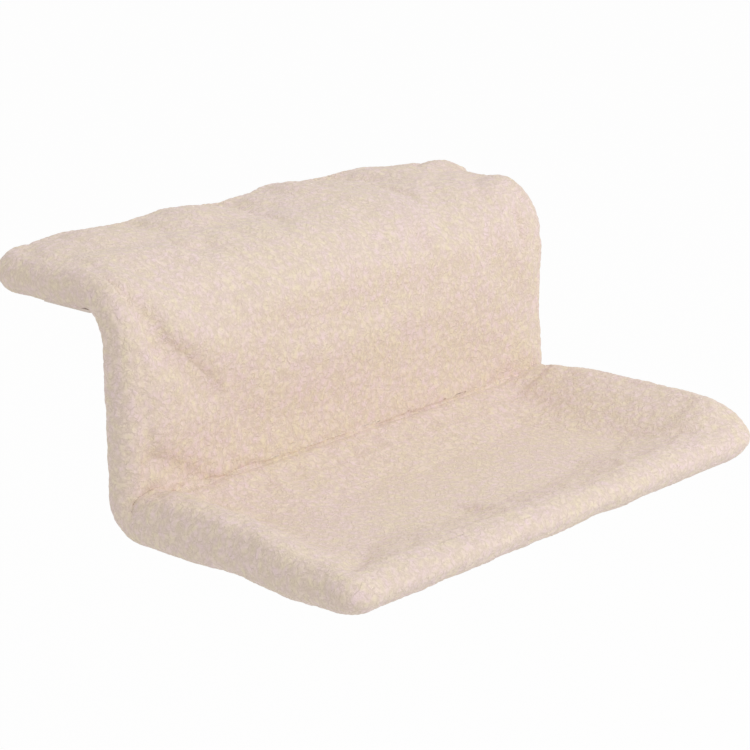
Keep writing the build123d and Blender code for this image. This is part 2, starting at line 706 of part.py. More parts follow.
for side, sign in sides.items():
    with BuildPart() as bolster_filling:
        filling_roll(sign)
    bolster_filling.part.label = f"bolster_filling_{side}"
    export_step(bolster_filling.part, f"parts/bolster_filling_{side}.step")

# Wadding and lining under the bed fleece, fitted between the rolls
with BuildPart() as bed_wadding:
    bed_sheet(bed_z + bed_rim - fleece - cloth_gap, wadding)
    bent_tube(bed_points, corner_bend, 2 * (roll_radius + cloth_gap), mode=Mode.SUBTRACT)
bed_wadding.part.label = "bed_wadding"
export_step(bed_wadding.part, "parts/bed_wadding.step")

with BuildPart() as bed_lining:
    bed_sheet(bed_z - bed_lining_drop, lining)
    bent_tube(bed_points, corner_bend, 2 * (roll_radius + cloth_gap), mode=Mode.SUBTRACT)
bed_lining.part.label = "bed_lining"
export_step(bed_lining.part, "parts/bed_lining.step")

# Hook and loop strips between the back lining's lower end and the bed lining
strip_half_length = side_x - strip_inset
strip_y = bed_start - strip_margin - strip_width / 2
strip_z = bed_z - lining_inner
with BuildPart() as hook_strip:
    with BuildSketch(Plane.XY.offset(strip_z)) as outline:
        with Locations((0, strip_y)):
            Rectangle(2 * strip_half_length, strip_width)
    extrude(outline.sketch, amount=strip_thickness)
hook_strip.part.label = "hook_strip"
export_step(hook_strip.part, "parts/hook_strip.step")

with BuildPart() as loop_strip:
    with BuildSketch(Plane.XY.offset(strip_z + strip_thickness)) as outline:
        with Locations((0, strip_y)):
            Rectangle(2 * strip_half_length, strip_width)
    extrude(outline.sketch, amount=strip_thickness)
loop_strip.part.label = "loop_strip"
export_step(loop_strip.part, "parts/loop_strip.step")
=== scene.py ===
import json
import math

import bpy
import numpy as np
from bpy.props import FloatProperty, FloatVectorProperty, PointerProperty
from mathutils import Matrix, Vector


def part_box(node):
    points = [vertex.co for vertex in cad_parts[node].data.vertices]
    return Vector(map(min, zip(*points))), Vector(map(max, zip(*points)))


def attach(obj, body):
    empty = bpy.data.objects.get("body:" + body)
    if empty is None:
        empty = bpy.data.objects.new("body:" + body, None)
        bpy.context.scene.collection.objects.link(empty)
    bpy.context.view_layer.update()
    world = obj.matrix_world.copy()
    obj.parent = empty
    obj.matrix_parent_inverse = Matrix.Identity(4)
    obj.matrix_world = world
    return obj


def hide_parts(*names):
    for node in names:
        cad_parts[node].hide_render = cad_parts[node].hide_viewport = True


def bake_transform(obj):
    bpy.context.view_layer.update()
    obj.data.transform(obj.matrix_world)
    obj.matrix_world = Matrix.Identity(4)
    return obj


bl_info = {
    "name": "Radiator Hammock",
    "version": (1, 0, 0),
    "blender": (4, 5, 0),
    "location": "View3D > Sidebar > Hammock",
    "description": "Dresses the tube frame of a radiator hammock in its fleece cover",
    "category": "Object",
}

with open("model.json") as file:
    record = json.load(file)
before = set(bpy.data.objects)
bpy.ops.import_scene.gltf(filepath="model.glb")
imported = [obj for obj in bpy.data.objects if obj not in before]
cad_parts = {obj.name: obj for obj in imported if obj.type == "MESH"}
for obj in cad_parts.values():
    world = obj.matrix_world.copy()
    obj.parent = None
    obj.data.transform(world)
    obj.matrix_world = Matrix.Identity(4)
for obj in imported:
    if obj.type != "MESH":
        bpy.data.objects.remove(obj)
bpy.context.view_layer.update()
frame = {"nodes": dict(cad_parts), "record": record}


def middle(node, axis):
    """The middle of a node's box along one axis."""
    low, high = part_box(node)
    return (low[axis] + high[axis]) / 2


def across(node, axis):
    """The size of a node's box along one axis."""
    low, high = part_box(node)
    return high[axis] - low[axis]


# Places of the tube frame, in metres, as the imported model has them
TUBE = across("upper_crossbar", 2) / 2
SIDE_X = middle("side_tube_right", 0)
UPRIGHT_Y = middle("upper_crossbar", 1)
TOP_Z = middle("hook_tube", 2)
BED_Z = middle("front_tube", 2)
REAR_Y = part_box("hook_tube")[1][1] - across("hook_tube", 2) / 2
FRONT_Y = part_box("front_tube")[0][1] + TUBE
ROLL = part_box("bed_fleece")[1][0] - SIDE_X
SEAM_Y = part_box("bed_fleece")[1][1]
PANEL_SEAM_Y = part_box("flap_fleece")[0][1]
TOP_BEND = 0.034
BOTTOM_BEND = 0.018
CORNER_BEND = 0.018
SEAM_RUN = UPRIGHT_Y - BOTTOM_BEND - SEAM_Y
UPPER_BAR_Z = middle("upper_crossbar", 2)
LOWER_BAR_Z = middle("lower_crossbar", 2)
COLLAR_Y = (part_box("clamp_collar_left")[0][1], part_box("clamp_collar_left")[1][1])

# The strips under the flap, and the levels that the flap's underside keeps on and beside them
GRIP_X = middle("grip_strip_right", 0)
GRIP_HALF = across("grip_strip_right", 0) / 2
GRIP_Y = (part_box("grip_strip_right")[0][1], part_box("grip_strip_right")[1][1])
FLAP_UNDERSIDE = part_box("grip_strip_left")[1][2] + 0.0003
FLAP_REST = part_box("grip_strip_left")[0][2] + 0.0002
REST_LEAD = 0.008

# The bed's sag: its depth in the lining, then shares of the way from the rear seam and of the depth
LINING_THICKNESS = across("flap_lining", 2)
SAG = across("bed_lining", 2) - LINING_THICKNESS
LINING_SAG = [(0, 0), (0.3, 0.8), (0.6, 1), (0.85, 0.75), (1, 0.4)]
SHEET_SAG = [(0, 0), (0.15, 0.45), (0.3, 0.8), (0.53, 1), (0.75, 0.85), (0.9, 0.6), (1, 0.4)]
LINING_SAG_START = 0.028
SHEET_SAG_START = 0.024

# How the fleece goes round the tubes and meets at the bed's seam
WRAP_TURN = math.radians(228)
INNER_RADIUS = TUBE + 0.0004
SEAM_LAP = 0.0076

# How the covers settle as cloth: steps, and what is held at the tubes and at the seam
SETTLING_STEPS = 20
TUBE_GRIP = 0.001
SEAM_GRIP = 0.01

LINING_SPACING = 0.0026
PAD_SPACING = 0.0035

# Hems, bindings and openings of the linings
HEM = 0.008
STITCH_INSETS = (0.0015, HEM - 0.0012)
BINDING_ROOM = 0.0008
BINDING_CORNER = 0.003
BINDING_WIDTH = 0.0019
BINDING_HEIGHT = 0.0011
SCREW_WINDOW = (0.012, 0.021)
SCREW_WINDOW_OUT = 0.004
SCREW_WINDOW_BACK = 0.007
BUMPER_ROOM = 0.0006
FLAP_LINING_CORNER = 0.0095
BED_LINING_CORNER = 0.012

# Wadding and fillings
QUILT_PITCH = 0.036
QUILT_DEPTH = 0.0005
PAD_CORNER = 0.014
FILLING_Z = BED_Z + 0.0162
FILLING_HALF_HEIGHT = 0.0029

# The covers' soft shapes: the fade at collars and screws, the snug right end, the wider right slope
FASTENER_FADE = 0.006
SNUG_START = 0.145
SNUG_WIDTH = 0.055
SNUG_PANEL = 0.003
SNUG_FLAP = 0.0026
RIGHT_SLOPE_SHARE = 1.7

# The stage
SENSOR = 36
FLOOR_HALF = 12.0
LAMP_SPOT = Vector((0.7, -2.1, 1.35))
LAMP_AIM = Vector((0, -0.06, -0.06))
LAMP_SIZE = 1.5

# The hook lip's legs: where each leaves the rear bar, and its way down
LIP_HALF = middle("lip_sleeve", 0) + 0.080
LIP_FOOT = np.array([0, middle("lip_sleeve", 1), middle("lip_sleeve", 2)])
LIP_HEAD = np.array([0, REAR_Y, TOP_Z])
LIP_WAY = (LIP_FOOT - LIP_HEAD) / np.linalg.norm(LIP_FOOT - LIP_HEAD)
LIP_LEGS = [(LIP_HEAD + np.array([sign * LIP_HALF, 0, 0]), LIP_WAY) for sign in (-1, 1)]
LEG_ROOM = 0.0052
EYELET = 0.0062
EYELET_HEIGHT = 0.0013


def a_colour(name, description, default):
    """A colour as a setting."""
    return FloatVectorProperty(
        name=name, description=description, subtype="COLOR", size=3, min=0, max=1, default=default)


def a_length(name, description, default, least, most):
    """A length in metres as a setting."""
    return FloatProperty(
        name=name, description=description, unit="LENGTH", min=least, max=most, default=default)


def an_angle(name, description, degrees):
    """An angle as a setting."""
    return FloatProperty(name=name, description=description, subtype="ANGLE", default=math.radians(degrees))


def a_number(name, description, default, most, least=0):
    """A plain number as a setting."""
    return FloatProperty(name=name, description=description, min=least, max=most, default=default)


class FleeceSettings(bpy.types.PropertyGroup):
    cream: a_colour("Cream", "Colour of the curls at their yellowest", (0.864, 0.752, 0.575))
    blush: a_colour("Blush", "Colour of the curls at their pinkest", (0.872, 0.702, 0.705))
    # Curl roots: painted shade, the darker colour given to the creases and gaps between the curls
    curl_root_shade: a_colour("Curl roots", "Colour of the fleece between its curls", (0.70, 0.58, 0.49))
    curl_size: a_length("Curl size", "Distance between neighbouring curls", 0.0046, 0.002, 0.012)
    pile: a_length("Pile", "How far the curls stand out", 0.0013, 0, 0.004)
    thickness: a_length("Thickness", "Thickness of the fleece with its backing", 0.0068, 0.003, 0.012)
    spacing: a_length("Mesh spacing", "Distance between points of the fleece", 0.0016, 0.001, 0.006)
    fold_depth: a_length("Fold depth", "Depth of the deepest creases", 0.0075, 0, 0.01)
    slack: a_length("Slack", "How far the cover sinks between the tubes", 0.0025, 0, 0.01)
    puff: a_number("Puff", "Pressure behind the flap and panel while they settle as cloth", 4.0, 50)
    ease: a_number("Ease", "How much larger the fleece is cut than what it covers", 0.02, 0.1)
    settle_cap: a_length("Settling", "Farthest that the fleece moves while it settles", 0.004, 0, 0.02)
    settle_spacing: a_length(
        "Settling mesh", "Distance between points of the cloth that settles", 0.007, 0.004, 0.02)


class BedSettings(bpy.types.PropertyGroup):
    rim: a_length("Sheet height", "Height of the sheet at the arms, above their centre line", 0.010, 0, 0.014)
    sag: a_length("Sag", "How far the sheet hangs down in its middle", 0.014, 0, 0.03)
    side_height: a_length(
        "Side height", "Height of the padded sides above the arms' centre line", 0.028, 0.014, 0.04)
    side_slope: a_length("Side slope", "From the ridge of a padded side in to the sheet", 0.046, 0.02, 0.12)
    ridge_inset: a_length(
        "Ridge inset", "From the arm's centre line in to the ridge of the padding", 0.009, 0, 0.03)
    front_slope: a_length(
        "Front slope", "From the front tube back to where the sheet hangs free", 0.072, 0.02, 0.15)
    edge_drop: a_length(
        "Edge drop", "How far the fleece slopes down to its lip over the front tube", 0.0028, 0, 0.005)
    weight: a_number("Weight", "Pressure on the bed's sheet while it settles as cloth", 4.0, 50)
    corner_point: a_length(
        "Corner point", "How far the fleece stands out at the front left corner", 0.009, 0, 0.01)


class LiningSettings(bpy.types.PropertyGroup):
    colour: a_colour("Lining", "Colour of the woven lining", (0.50, 0.42, 0.33))
    thread: a_colour("Thread", "Colour of the stitching", (0.72, 0.64, 0.54))
    stitch: a_length("Stitch", "Length of one stitch with its gap", 0.004, 0.002, 0.01)


class FrameSettings(bpy.types.PropertyGroup):
    coat: a_colour("Powder coat", "Colour of the tubes' coat", (0.78, 0.78, 0.76))
    zinc: a_colour("Zinc", "Colour of the screws, nuts and inserts", (0.56, 0.57, 0.60))
    plastic: a_colour("Collars", "Colour of the clamp collars", (0.62, 0.62, 0.60))
    knob: a_colour("Knobs", "Colour of the thumb screws' knobs", (0.02, 0.02, 0.022))
    rubber: a_colour("Rubber", "Colour of the bumpers and the sleeve", (0.03, 0.03, 0.032))
    grip: a_colour("Grip strips", "Colour of the strips under the flap", (0.74, 0.63, 0.54))


class StageSettings(bpy.types.PropertyGroup):
    azimuth: an_angle("Azimuth", "Camera's turn round the hammock", -47.96)
    elevation: an_angle("Elevation", "Camera's height as an angle", 16.58)
    roll: an_angle("Roll", "Camera's roll", -0.13)
    distance: a_length("Distance", "From the camera to the point it looks at", 1.85, 0.5, 5)
    target: FloatVectorProperty(
        name="Target", description="Point that the camera looks at",
        subtype="TRANSLATION", size=3, default=(0.0439, -0.0148, -0.0983))
    lens: a_number("Lens", "Focal length in millimetres", 116.73, 300, 20)
    room_light: a_number("Room light", "Strength of the soft light from all round", 0.775, 2)
    key_power: a_number("Key power", "Power of the front lamp in watts", 21.0, 200)
    floor_drop: a_length("Floor", "Depth of the floor below the radiator's top", 0.62, 0.2, 2)


class Level:
    """A number socket of a finish that takes part in Python arithmetic."""

    def __init__(self, finish, socket):
        self.finish = finish
        self.socket = socket

    def _maths(self, operation, *values):
        return self.finish.level("ShaderNodeMath", {"operation": operation}, dict(enumerate(values)))

    def __add__(self, other):
        return self._maths("ADD", self, other)

    def __radd__(self, other):
        return self._maths("ADD", other, self)

    def __sub__(self, other):
        return self._maths("SUBTRACT", self, other)

    def __rsub__(self, other):
        return self._maths("SUBTRACT", other, self)

    def __mul__(self, other):
        return self._maths("MULTIPLY", self, other)

    def __rmul__(self, other):
        return self._maths("MULTIPLY", other, self)

    def __abs__(self):
        return self._maths("ABSOLUTE", self)

    def at_most(self, other):
        """The smaller of this and another number."""
        return self._maths("MINIMUM", self, other)

    def at_least(self, other):
        """The larger of this and another number."""
        return self._maths("MAXIMUM", self, other)


class Finish:
    """A material, or the light of the room, in the making. One method adds every node of its tree."""

    def __init__(self, name, kind="materials"):
        self.holder = getattr(bpy.data, kind).new(name)
        self.holder.use_nodes = True
        self.tree = self.holder.node_tree
        self.tree.nodes.clear()
        if kind == "materials":
            self.place = self.node("ShaderNodeTexCoord").outputs["Object"]

    def node(self, kind, settings=None, values=None):
        """Adds a node, makes its settings and then fills or links its sockets."""
        node = self.tree.nodes.new(kind)
        for key, value in (settings or {}).items():
            setattr(node, key, value)
        for key, value in (values or {}).items():
            if isinstance(value, Level):
                value = value.socket
            if isinstance(value, bpy.types.NodeSocket):
                self.tree.links.new(value, node.inputs[key])
            else:
                node.inputs[key].default_value = value
        return node

    def level(self, kind, settings=None, values=None, output=0):
        """A node's number output, ready for arithmetic."""
        return Level(self, self.node(kind, settings, values).outputs[output])

    def noise(self, scale, detail=3, roughness=0.5, place=None):
        """Soft noise from 0 to 1; scale is in bumps per metre."""
        values = {"Vector": place or self.place, "Scale": scale, "Detail": detail, "Roughness": roughness}
        return self.level("ShaderNodeTexNoise", None, values)

    def cells(self, scale, feature="F1", place=None):
        """Distance from the middles of cells; scale is in cells per metre."""
        values = {"Vector": place or self.place, "Scale": scale}
        return self.level("ShaderNodeTexVoronoi", {"feature": feature}, values)

    def mix(self, share, first, second):
        """A colour between two colours."""
        colours = [
            value if isinstance(value, bpy.types.NodeSocket) else (*value, 1) for value in (first, second)
        ]
        node = self.node("ShaderNodeMix", {"data_type": "RGBA"}, {0: share, 6: colours[0], 7: colours[1]})
        return node.outputs[2]

    def bump(self, height, distance, strength=1.0):
        """A normal from a height that runs from 0 to 1."""
        values = {"Height": height, "Distance": distance, "Strength": strength}
        return self.node("ShaderNodeBump", None, values).outputs["Normal"]

    def done(self, **values):
        """Ends the finish with its surface shader."""
        named = {key.replace("_", " ").title().replace("Ior", "IOR"): value for key, value in values.items()}
        shader = self.node("ShaderNodeBsdfPrincipled", None, named)
        self.node("ShaderNodeOutputMaterial", None, {"Surface": shader.outputs["BSDF"]})
        return self.holder


def plain_rays(finish):
    """1 for the rays that see the background itself: straight, mirrored or through something clear."""
    path = finish.node("ShaderNodeLightPath")
    straight, mirrored, clear = (
        Level(finish, path.outputs[f"Is {kind} Ray"]) for kind in ("Camera", "Glossy", "Transmission"))
    return straight.at_least(mirrored).at_least(clear)


def shift_place(finish, reach, scale):
    """The object's place, pushed about by noise so that cells lose their straight edges."""
    values = {"Vector": finish.place, "Scale": scale, "Detail": 2.0}
    shift = finish.node("ShaderNodeTexNoise", None, values).outputs["Color"]
    for operation, values in (
            ("SUBTRACT", {1: (0.5, 0.5, 0.5)}), ("SCALE", {"Scale": reach}), ("ADD", {1: finish.place})):
        shift = finish.node("ShaderNodeVectorMath", {"operation": operation}, {0: shift, **values}).outputs[0]
    return shift


def shaded(colour, share):
    """A colour made darker, or lighter up to white."""
    return tuple(min(1, share * part) for part in colour)


def fleece_finish(name, look):
    """Short curly pile: soft pale tufts with thin winding creases between them, tinted cream and pink.
    Painted shade darkens the creases and gaps between the curls towards the root colour, and painted light
    brightens the tuft tops.
    """
    finish = Finish(name)
    warped = shift_place(finish, 0.004, 170)
    winding = finish.noise(0.9 / look.curl_size, 2, 0.5, warped)
    fine = finish.noise(2.0 / look.curl_size, 2, 0.5, warped)
    tufts = finish.cells(1 / look.curl_size, "SMOOTH_F1", warped)
    creases = abs((winding - 0.5) * 8.0).at_most(1.0)
    hairs = abs((fine - 0.5) * 6.0).at_most(1.0)
    tint = finish.noise(0.75 / look.curl_size, 1, 0.5)
    patches = finish.noise(17, 3, 0.5)
    pile = finish.mix((tint - 0.5) * 2.6 + (patches - 0.5) * 1.2 + 0.5, look.cream, look.blush)
    # Painted light and shade of the pile: tuft tops lighter, creases and gaps between the curls darker
    # towards the painted-shade root colour
    lit = creases * 0.52 + hairs * 0.36 + (1 - tufts) * 0.25
    height = creases * 0.5 + hairs * 0.3 + (1 - tufts) * 0.35
    return finish.done(
        base_color=finish.mix(lit, look.curl_root_shade, pile), roughness=0.97,
        normal=finish.bump(height, 0.001, 0.6), specular_ior_level=0.1, sheen_weight=0.2,
        sheen_roughness=0.6)


def woven_finish(name, colour, scale=1500, fold=0.0002):
    """Plain weave: crossing threads with a slub here and there."""
    finish = Finish(name)
    warp, weft = (
        finish.level("ShaderNodeTexWave", {"wave_type": "BANDS", "bands_direction": direction}, {
            "Vector": finish.place, "Scale": scale / 20, "Distortion": 0.4})
        for direction in ("X", "DIAGONAL"))
    slubs = finish.noise(300, 3)
    patches = finish.noise(14, 2)
    threads = warp * 0.5 + weft * 0.5
    share = threads * 0.45 + slubs * 0.35 + patches * 0.2
    return finish.done(
        base_color=finish.mix(share, shaded(colour, 0.72), shaded(colour, 1.12)),
        roughness=0.88 + 0.08 * slubs, normal=finish.bump(threads + slubs * 0.4, fold),
        specular_ior_level=0.2, sheen_weight=0.12)


def grained_finish(name, colours, grain, clouds, tint, rough, relief, **surface):
    """A fine grain in relief, under slow clouds of colour and shine. The grain is cells per metre or a
    noise. Tint is how far grain and clouds move the colour, rough the roughness and what the clouds add."""
    finish = Finish(name)
    grain = finish.noise(*grain) if isinstance(grain, tuple) else finish.cells(grain)
    clouds = finish.noise(*clouds)
    share = grain * tint[0] + clouds * tint[1] if tint[0] else clouds * tint[1]
    roughness = rough[0] + rough[1] * clouds if rough[1] else rough[0]
    return finish.done(
        base_color=finish.mix(share, *colours), roughness=roughness, normal=finish.bump(grain, relief),
        **surface)


def wadding_finish(name):
    """White spun fibre, matted in loose clouds."""
    whites = [(0.62, 0.62, 0.6), (0.86, 0.86, 0.85)]
    return grained_finish(
        name, whites, (900, 5, 0.7), (60, 4), (0.5, 0.5), (0.98, 0), 0.0012, specular_ior_level=0.1)


def tape_finish(name, colour, bristles):
    """Hook or loop tape: a woven ground with rows of bristles or a felt of loops."""
    colours = [shaded(colour, 0.6), colour]
    return grained_finish(
        name, colours, bristles, (700, 2), (0.7, 0.3), (0.8, 0), 0.0005, specular_ior_level=0.25)


def coat_finish(name, colour):
    """Powder coat on steel tube: a fine orange peel, rubbed a little at the handled places."""
    finish = Finish(name)
    peel = finish.noise(850, 2)
    rub = finish.noise(45, 5, 0.7)
    wear = finish.level("ShaderNodeMapRange", None, {"Value": rub, "From Min": 0.62, "From Max": 0.8})
    return finish.done(
        base_color=finish.mix(wear * 0.35, colour, shaded(colour, 0.72)), roughness=0.34 + 0.2 * rub,
        normal=finish.bump(peel, 0.00012), coat_weight=0.15, coat_roughness=0.3)


def zinc_finish(name, colour):
    """Zinc plate: bright, finely brushed, with cloudy dull spots."""
    colours = [shaded(colour, 0.78), shaded(colour, 1.1)]
    return grained_finish(name, colours, (2200, 2), (160, 4), (0, 1), (0.26, 0.22), 0.00004, metallic=1.0)


def moulded_finish(name, colour, shine=0.5):
    """Moulded plastic with a fine eroded grain."""
    return grained_finish(
        name, [colour, shaded(colour, 0.8)], 1300, (70, 3), (0, 0.6), (shine, 0.15), 0.00008)


def rubber_finish(name, colour):
    """Soft rubber: matt, faintly porous, paler where it has been pressed."""
    return grained_finish(
        name, [colour, shaded(colour, 2.2)], 900, (90, 4), (0, 0.5), (0.82, 0.1), 0.00015,
        specular_ior_level=0.35)


def soft_noise(points, size, seed):
    """Smooth noise from -1 to 1 at points; size is the distance between its bumps."""
    grid = points / size
    base = np.floor(grid).astype(np.int64)
    ease = smooth_step(grid - base)
    total = np.zeros(len(points))
    for corner in range(8):
        step = np.array([corner & 1, corner >> 1 & 1, corner >> 2 & 1])
        weight = np.prod(np.where(step, ease, 1 - ease), axis=1)
        total += weight * (2 * scatter(base + step, seed) - 1)
    return total


def scatter(cells, seed):
    """A steady number from 0 to 1 for each whole-numbered cell."""
    mixed = (cells * np.array([73856093, 19349663, 83492791])).sum(axis=1) + seed * 1013904223
    mixed = (mixed ^ (mixed >> 15)) * 2246822519 & 0xFFFFFFFF
    mixed = (mixed ^ (mixed >> 13)) * 3266489917 & 0xFFFFFFFF
    return ((mixed ^ (mixed >> 16)) & 0xFFFF) / 65535


def curl_heights(points, size, seed):
    """Height from 0 to 1 of the nearest curl, which is a soft knob in each cell of a jittered grid."""
    grid = points / size
    base = np.floor(grid).astype(np.int64)
    nearest = np.full(len(points), 9.0)
    for step in np.ndindex(3, 3, 3):
        cell = base + np.array(step) - 1
        spot = cell + np.stack([0.15 + 0.7 * scatter(cell, seed + axis) for axis in range(3)], axis=1)
        nearest = np.minimum(nearest, ((grid - spot) ** 2).sum(axis=1))
    return np.clip(1 - nearest, 0, 1)


def smooth_max(first, second, blend):
    """The larger of two heights, with a soft join."""
    return (first + second + np.sqrt((first - second) ** 2 + blend**2)) / 2


def smooth_step(value):
    """A smooth rise from 0 to 1."""
    value = np.clip(value, 0, 1)
    return value * value * (3 - 2 * value)


def rise(value, start, width):
    """A smooth rise from 0 at start to 1 at its width past it."""
    return smooth_step((value - start) / width)


def bell(distance, width):
    """A soft hump from 1 to 0."""
    return np.exp(-((distance / width) ** 2))


def run_distance(p, q, spots):
    """Distance from a line of spots on the flat cover, and the share of the line that is reached."""
    best = np.full(p.shape, 9.0)
    reached = np.zeros(p.shape)
    count = len(spots) - 1
    for index in range(count):
        (p0, q0), (p1, q1) = spots[index], spots[index + 1]
        run = (p1 - p0) ** 2 + (q1 - q0) ** 2
        share = np.clip(((p - p0) * (p1 - p0) + (q - q0) * (q1 - q0)) / run, 0, 1)
        distance = np.hypot(p - p0 - share * (p1 - p0), q - q0 - share * (q1 - q0))
        closer = distance < best
        best = np.where(closer, distance, best)
        reached = np.where(closer, (index + share) / count, reached)
    return best, reached


def follow(q, start, runs):
    """Points, headings and normals along straight runs and bends seen from the side, as Y and Z. A run is
    its length or radius and its turn. The start is Y, Z and 1 for a first heading of +Y or -1 for -Y."""
    heading = 0.0 if start[2] > 0 else math.pi
    point = np.array(start[:2], float)
    points = np.zeros((*q.shape, 2))
    angles = np.zeros(q.shape)
    done = 0.0
    for index, (size, turn) in enumerate(runs):
        length = abs(size * turn) if turn else size
        here = ((q >= done) | (index == 0)) & ((q < done + length) | (index == len(runs) - 1))
        along = q[here] - done
        sign = math.copysign(1, turn)
        if turn:
            angle = heading + sign * along / size
            points[here] = point + sign * size * np.stack(
                [np.sin(angle) - math.sin(heading), math.cos(heading) - np.cos(angle)], axis=-1)
            angles[here] = angle
            end = heading + turn
            point = point + sign * size * np.array(
                [math.sin(end) - math.sin(heading), math.cos(heading) - math.cos(end)])
            heading = end
        else:
            points[here] = point + along[..., None] * np.array([math.cos(heading), math.sin(heading)])
            angles[here] = heading
            point = point + length * np.array([math.cos(heading), math.sin(heading)])
        done += length
    ahead = np.stack([np.cos(angles), np.sin(angles)], axis=-1)
    return points, ahead, start[2] * np.stack([-np.sin(angles), np.cos(angles)], axis=-1)


def run_length(runs):
    """The whole length of straight runs and bends."""
    return sum(abs(size * turn) if turn else size for size, turn in runs)


def spaced(low, high, spacing, stops=()):
    """Evenly spaced values, with the nearest ones moved onto the stops."""
    values = np.linspace(low, high, max(2, int(round((high - low) / spacing)) + 1))
    for stop in stops:
        values[np.argmin(np.abs(values - stop))] = stop
    return values


def flat_grid(half, start, end, corner, spacing, stops=((), ())):
    """A grid over a flat piece of cloth, with its far corners rounded."""
    p, q = np.meshgrid(spaced(-half, half, spacing, stops[0]), spaced(start, end, spacing, stops[1]))
    if not corner:
        return p, q
    a = np.clip((np.abs(p) - (half - corner)) / corner, 0, 1)
    b = np.clip((q - (end - corner)) / corner, 0, 1)
    both = (a > 0) & (b > 0)
    round_p = np.sign(p) * (half - corner + corner * a * np.sqrt(1 - b**2 / 2))
    round_q = end - corner + corner * b * np.sqrt(1 - a**2 / 2)
    return np.where(both, round_p, p), np.where(both, round_q, q)


class Cover:
    """A fleece cover laid flat: p runs across it and q along its profile, from its seam to its far tube.
    Past the tubes' centre lines it wraps round them."""

    def __init__(self, start, runs, lap=0.0):
        self.start = start
        self.runs = runs
        self.end = run_length(runs)
        self.wrap = ROLL * WRAP_TURN
        self.lap = lap

    def grid(self, spacing):
        """The whole cover's grid."""
        corner = CORNER_BEND + self.wrap
        p, q = flat_grid(SIDE_X + self.wrap, -self.lap, self.end + self.wrap, corner, spacing)
        return (p, q) if self.start[2] > 0 else (p[:, ::-1], q)

    def edge(self, p, q):
        """The nearest spot of the tubes' centre line, the way out from it and the distance past it."""
        a = np.abs(p) - (SIDE_X - CORNER_BEND)
        b = q - (self.end - CORNER_BEND)
        reach = np.maximum(np.hypot(a, b), 1e-9)
        corner = (a > 0) & (b > 0)
        side = ~corner & (a >= b)
        out_p = np.where(corner, a / reach, np.where(side, 1.0, 0.0))
        out_q = np.where(corner, b / reach, np.where(side, 0.0, 1.0))
        past = np.where(corner, reach, np.maximum(a, b)) - CORNER_BEND
        bend_p = SIDE_X - CORNER_BEND + out_p * CORNER_BEND
        bend_q = self.end - CORNER_BEND + out_q * CORNER_BEND
        spot_p = np.where(corner, bend_p, np.where(side, SIDE_X, np.abs(p)))
        spot_q = np.where(corner, bend_q, np.where(side, q, self.end))
        sign = np.where(p < 0, -1.0, 1.0)
        return sign * spot_p, spot_q, sign * out_p, out_q, past

    def inset(self, p, q):
        """Distance in from the tubes' centre line."""
        return np.maximum(-self.edge(p, q)[4], 0)

    def place(self, p, q, height, radius):
        """Points of a skin: its height above the tubes' centre lines, and its radius round them."""
        spot_p, spot_q, out_p, out_q, past = self.edge(p, q)
        round_it = past > 0
        turn = np.where(round_it, past / ROLL, 0)
        foot_p = np.where(round_it, spot_p, p)
        foot_q = np.where(round_it, spot_q, q)
        top = height(foot_p, foot_q)
        ring = radius(foot_p, foot_q, turn)
        lift = np.where(turn < math.pi / 2, np.maximum(top, ring) * np.cos(turn), ring * np.cos(turn))
        lift = np.where(round_it, lift, top)
        reach = np.where(round_it, ring * np.sin(turn), 0)
        points, ahead, normals = follow(foot_q, self.start, self.runs)
        y_z = points + ahead * (out_q * reach)[..., None] + normals * lift[..., None]
        return np.concatenate([(foot_p + out_p * reach)[..., None], y_z], axis=-1)


def grid_normals(points):
    """Unit normals of a grid of points."""
    down = np.gradient(points, axis=0)
    along = np.gradient(points, axis=1)
    normals = np.cross(along, down)
    return normals / np.maximum(np.linalg.norm(normals, axis=-1, keepdims=True), 1e-12)


def new_piece(name, points, faces, finish, body="frame", smooth=True):
    """A mesh piece in the row frame."""
    mesh = bpy.data.meshes.new(name)
    mesh.from_pydata(np.asarray(points).tolist(), [], [list(map(int, face)) for face in faces])
    mesh.validate()
    mesh.update()
    mesh.polygons.foreach_set("use_smooth", [smooth] * len(mesh.polygons))
    piece = bpy.data.objects.new(name, mesh)
    bpy.context.scene.collection.objects.link(piece)
    if finish:
        mesh.materials.append(finish)
    if body:
        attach(piece, body)
    return piece


def grid_quads(rows, columns, keep=None):
    """The quads between the points of a grid, without those that keep leaves out."""
    first = (np.arange(rows - 1)[:, None] * columns + np.arange(columns - 1)).ravel()
    if keep is not None:
        first = first[keep.ravel()]
    return np.stack([first, first + 1, first + columns + 1, first + columns], axis=1)


def shell(outer, inner, keep=None):
    """Points and faces of a closed shell between two grids of one size. Quads that keep leaves out
    become openings, and every free edge gets a rim."""
    rows, columns = outer.shape[:2]
    count = rows * columns
    quads = grid_quads(rows, columns, keep)
    starts = quads.ravel()
    ends = np.roll(quads, -1, axis=1).ravel()
    size = 2 * count
    free = ~np.isin(starts * size + ends, ends * size + starts)
    starts, ends = starts[free], ends[free]
    rims = np.stack([starts, starts + count, ends + count, ends], axis=1)
    faces = np.concatenate([quads, quads[:, ::-1] + count, rims])
    points = np.concatenate([outer.reshape(-1, 3), inner.reshape(-1, 3)])
    used = np.unique(faces)
    places = np.zeros(size, np.int64)
    places[used] = np.arange(len(used))
    return points[used], places[faces]


def curled(skin, look):
    """The outer skin with its curls standing out of it. Covers that meet share their curls at the seam."""
    flat = skin.reshape(-1, 3)
    normals = grid_normals(skin).reshape(-1, 3)
    wander = np.stack([soft_noise(flat, 0.007, seed) for seed in (41, 42, 43)], axis=1)
    curls = curl_heights(flat + 0.0016 * wander, look.curl_size, 46)
    patches = soft_noise(flat, 0.013, 50)
    lift = look.pile * (curls - 0.45 + 0.35 * patches)
    return (flat + normals * lift[:, None]).reshape(skin.shape)


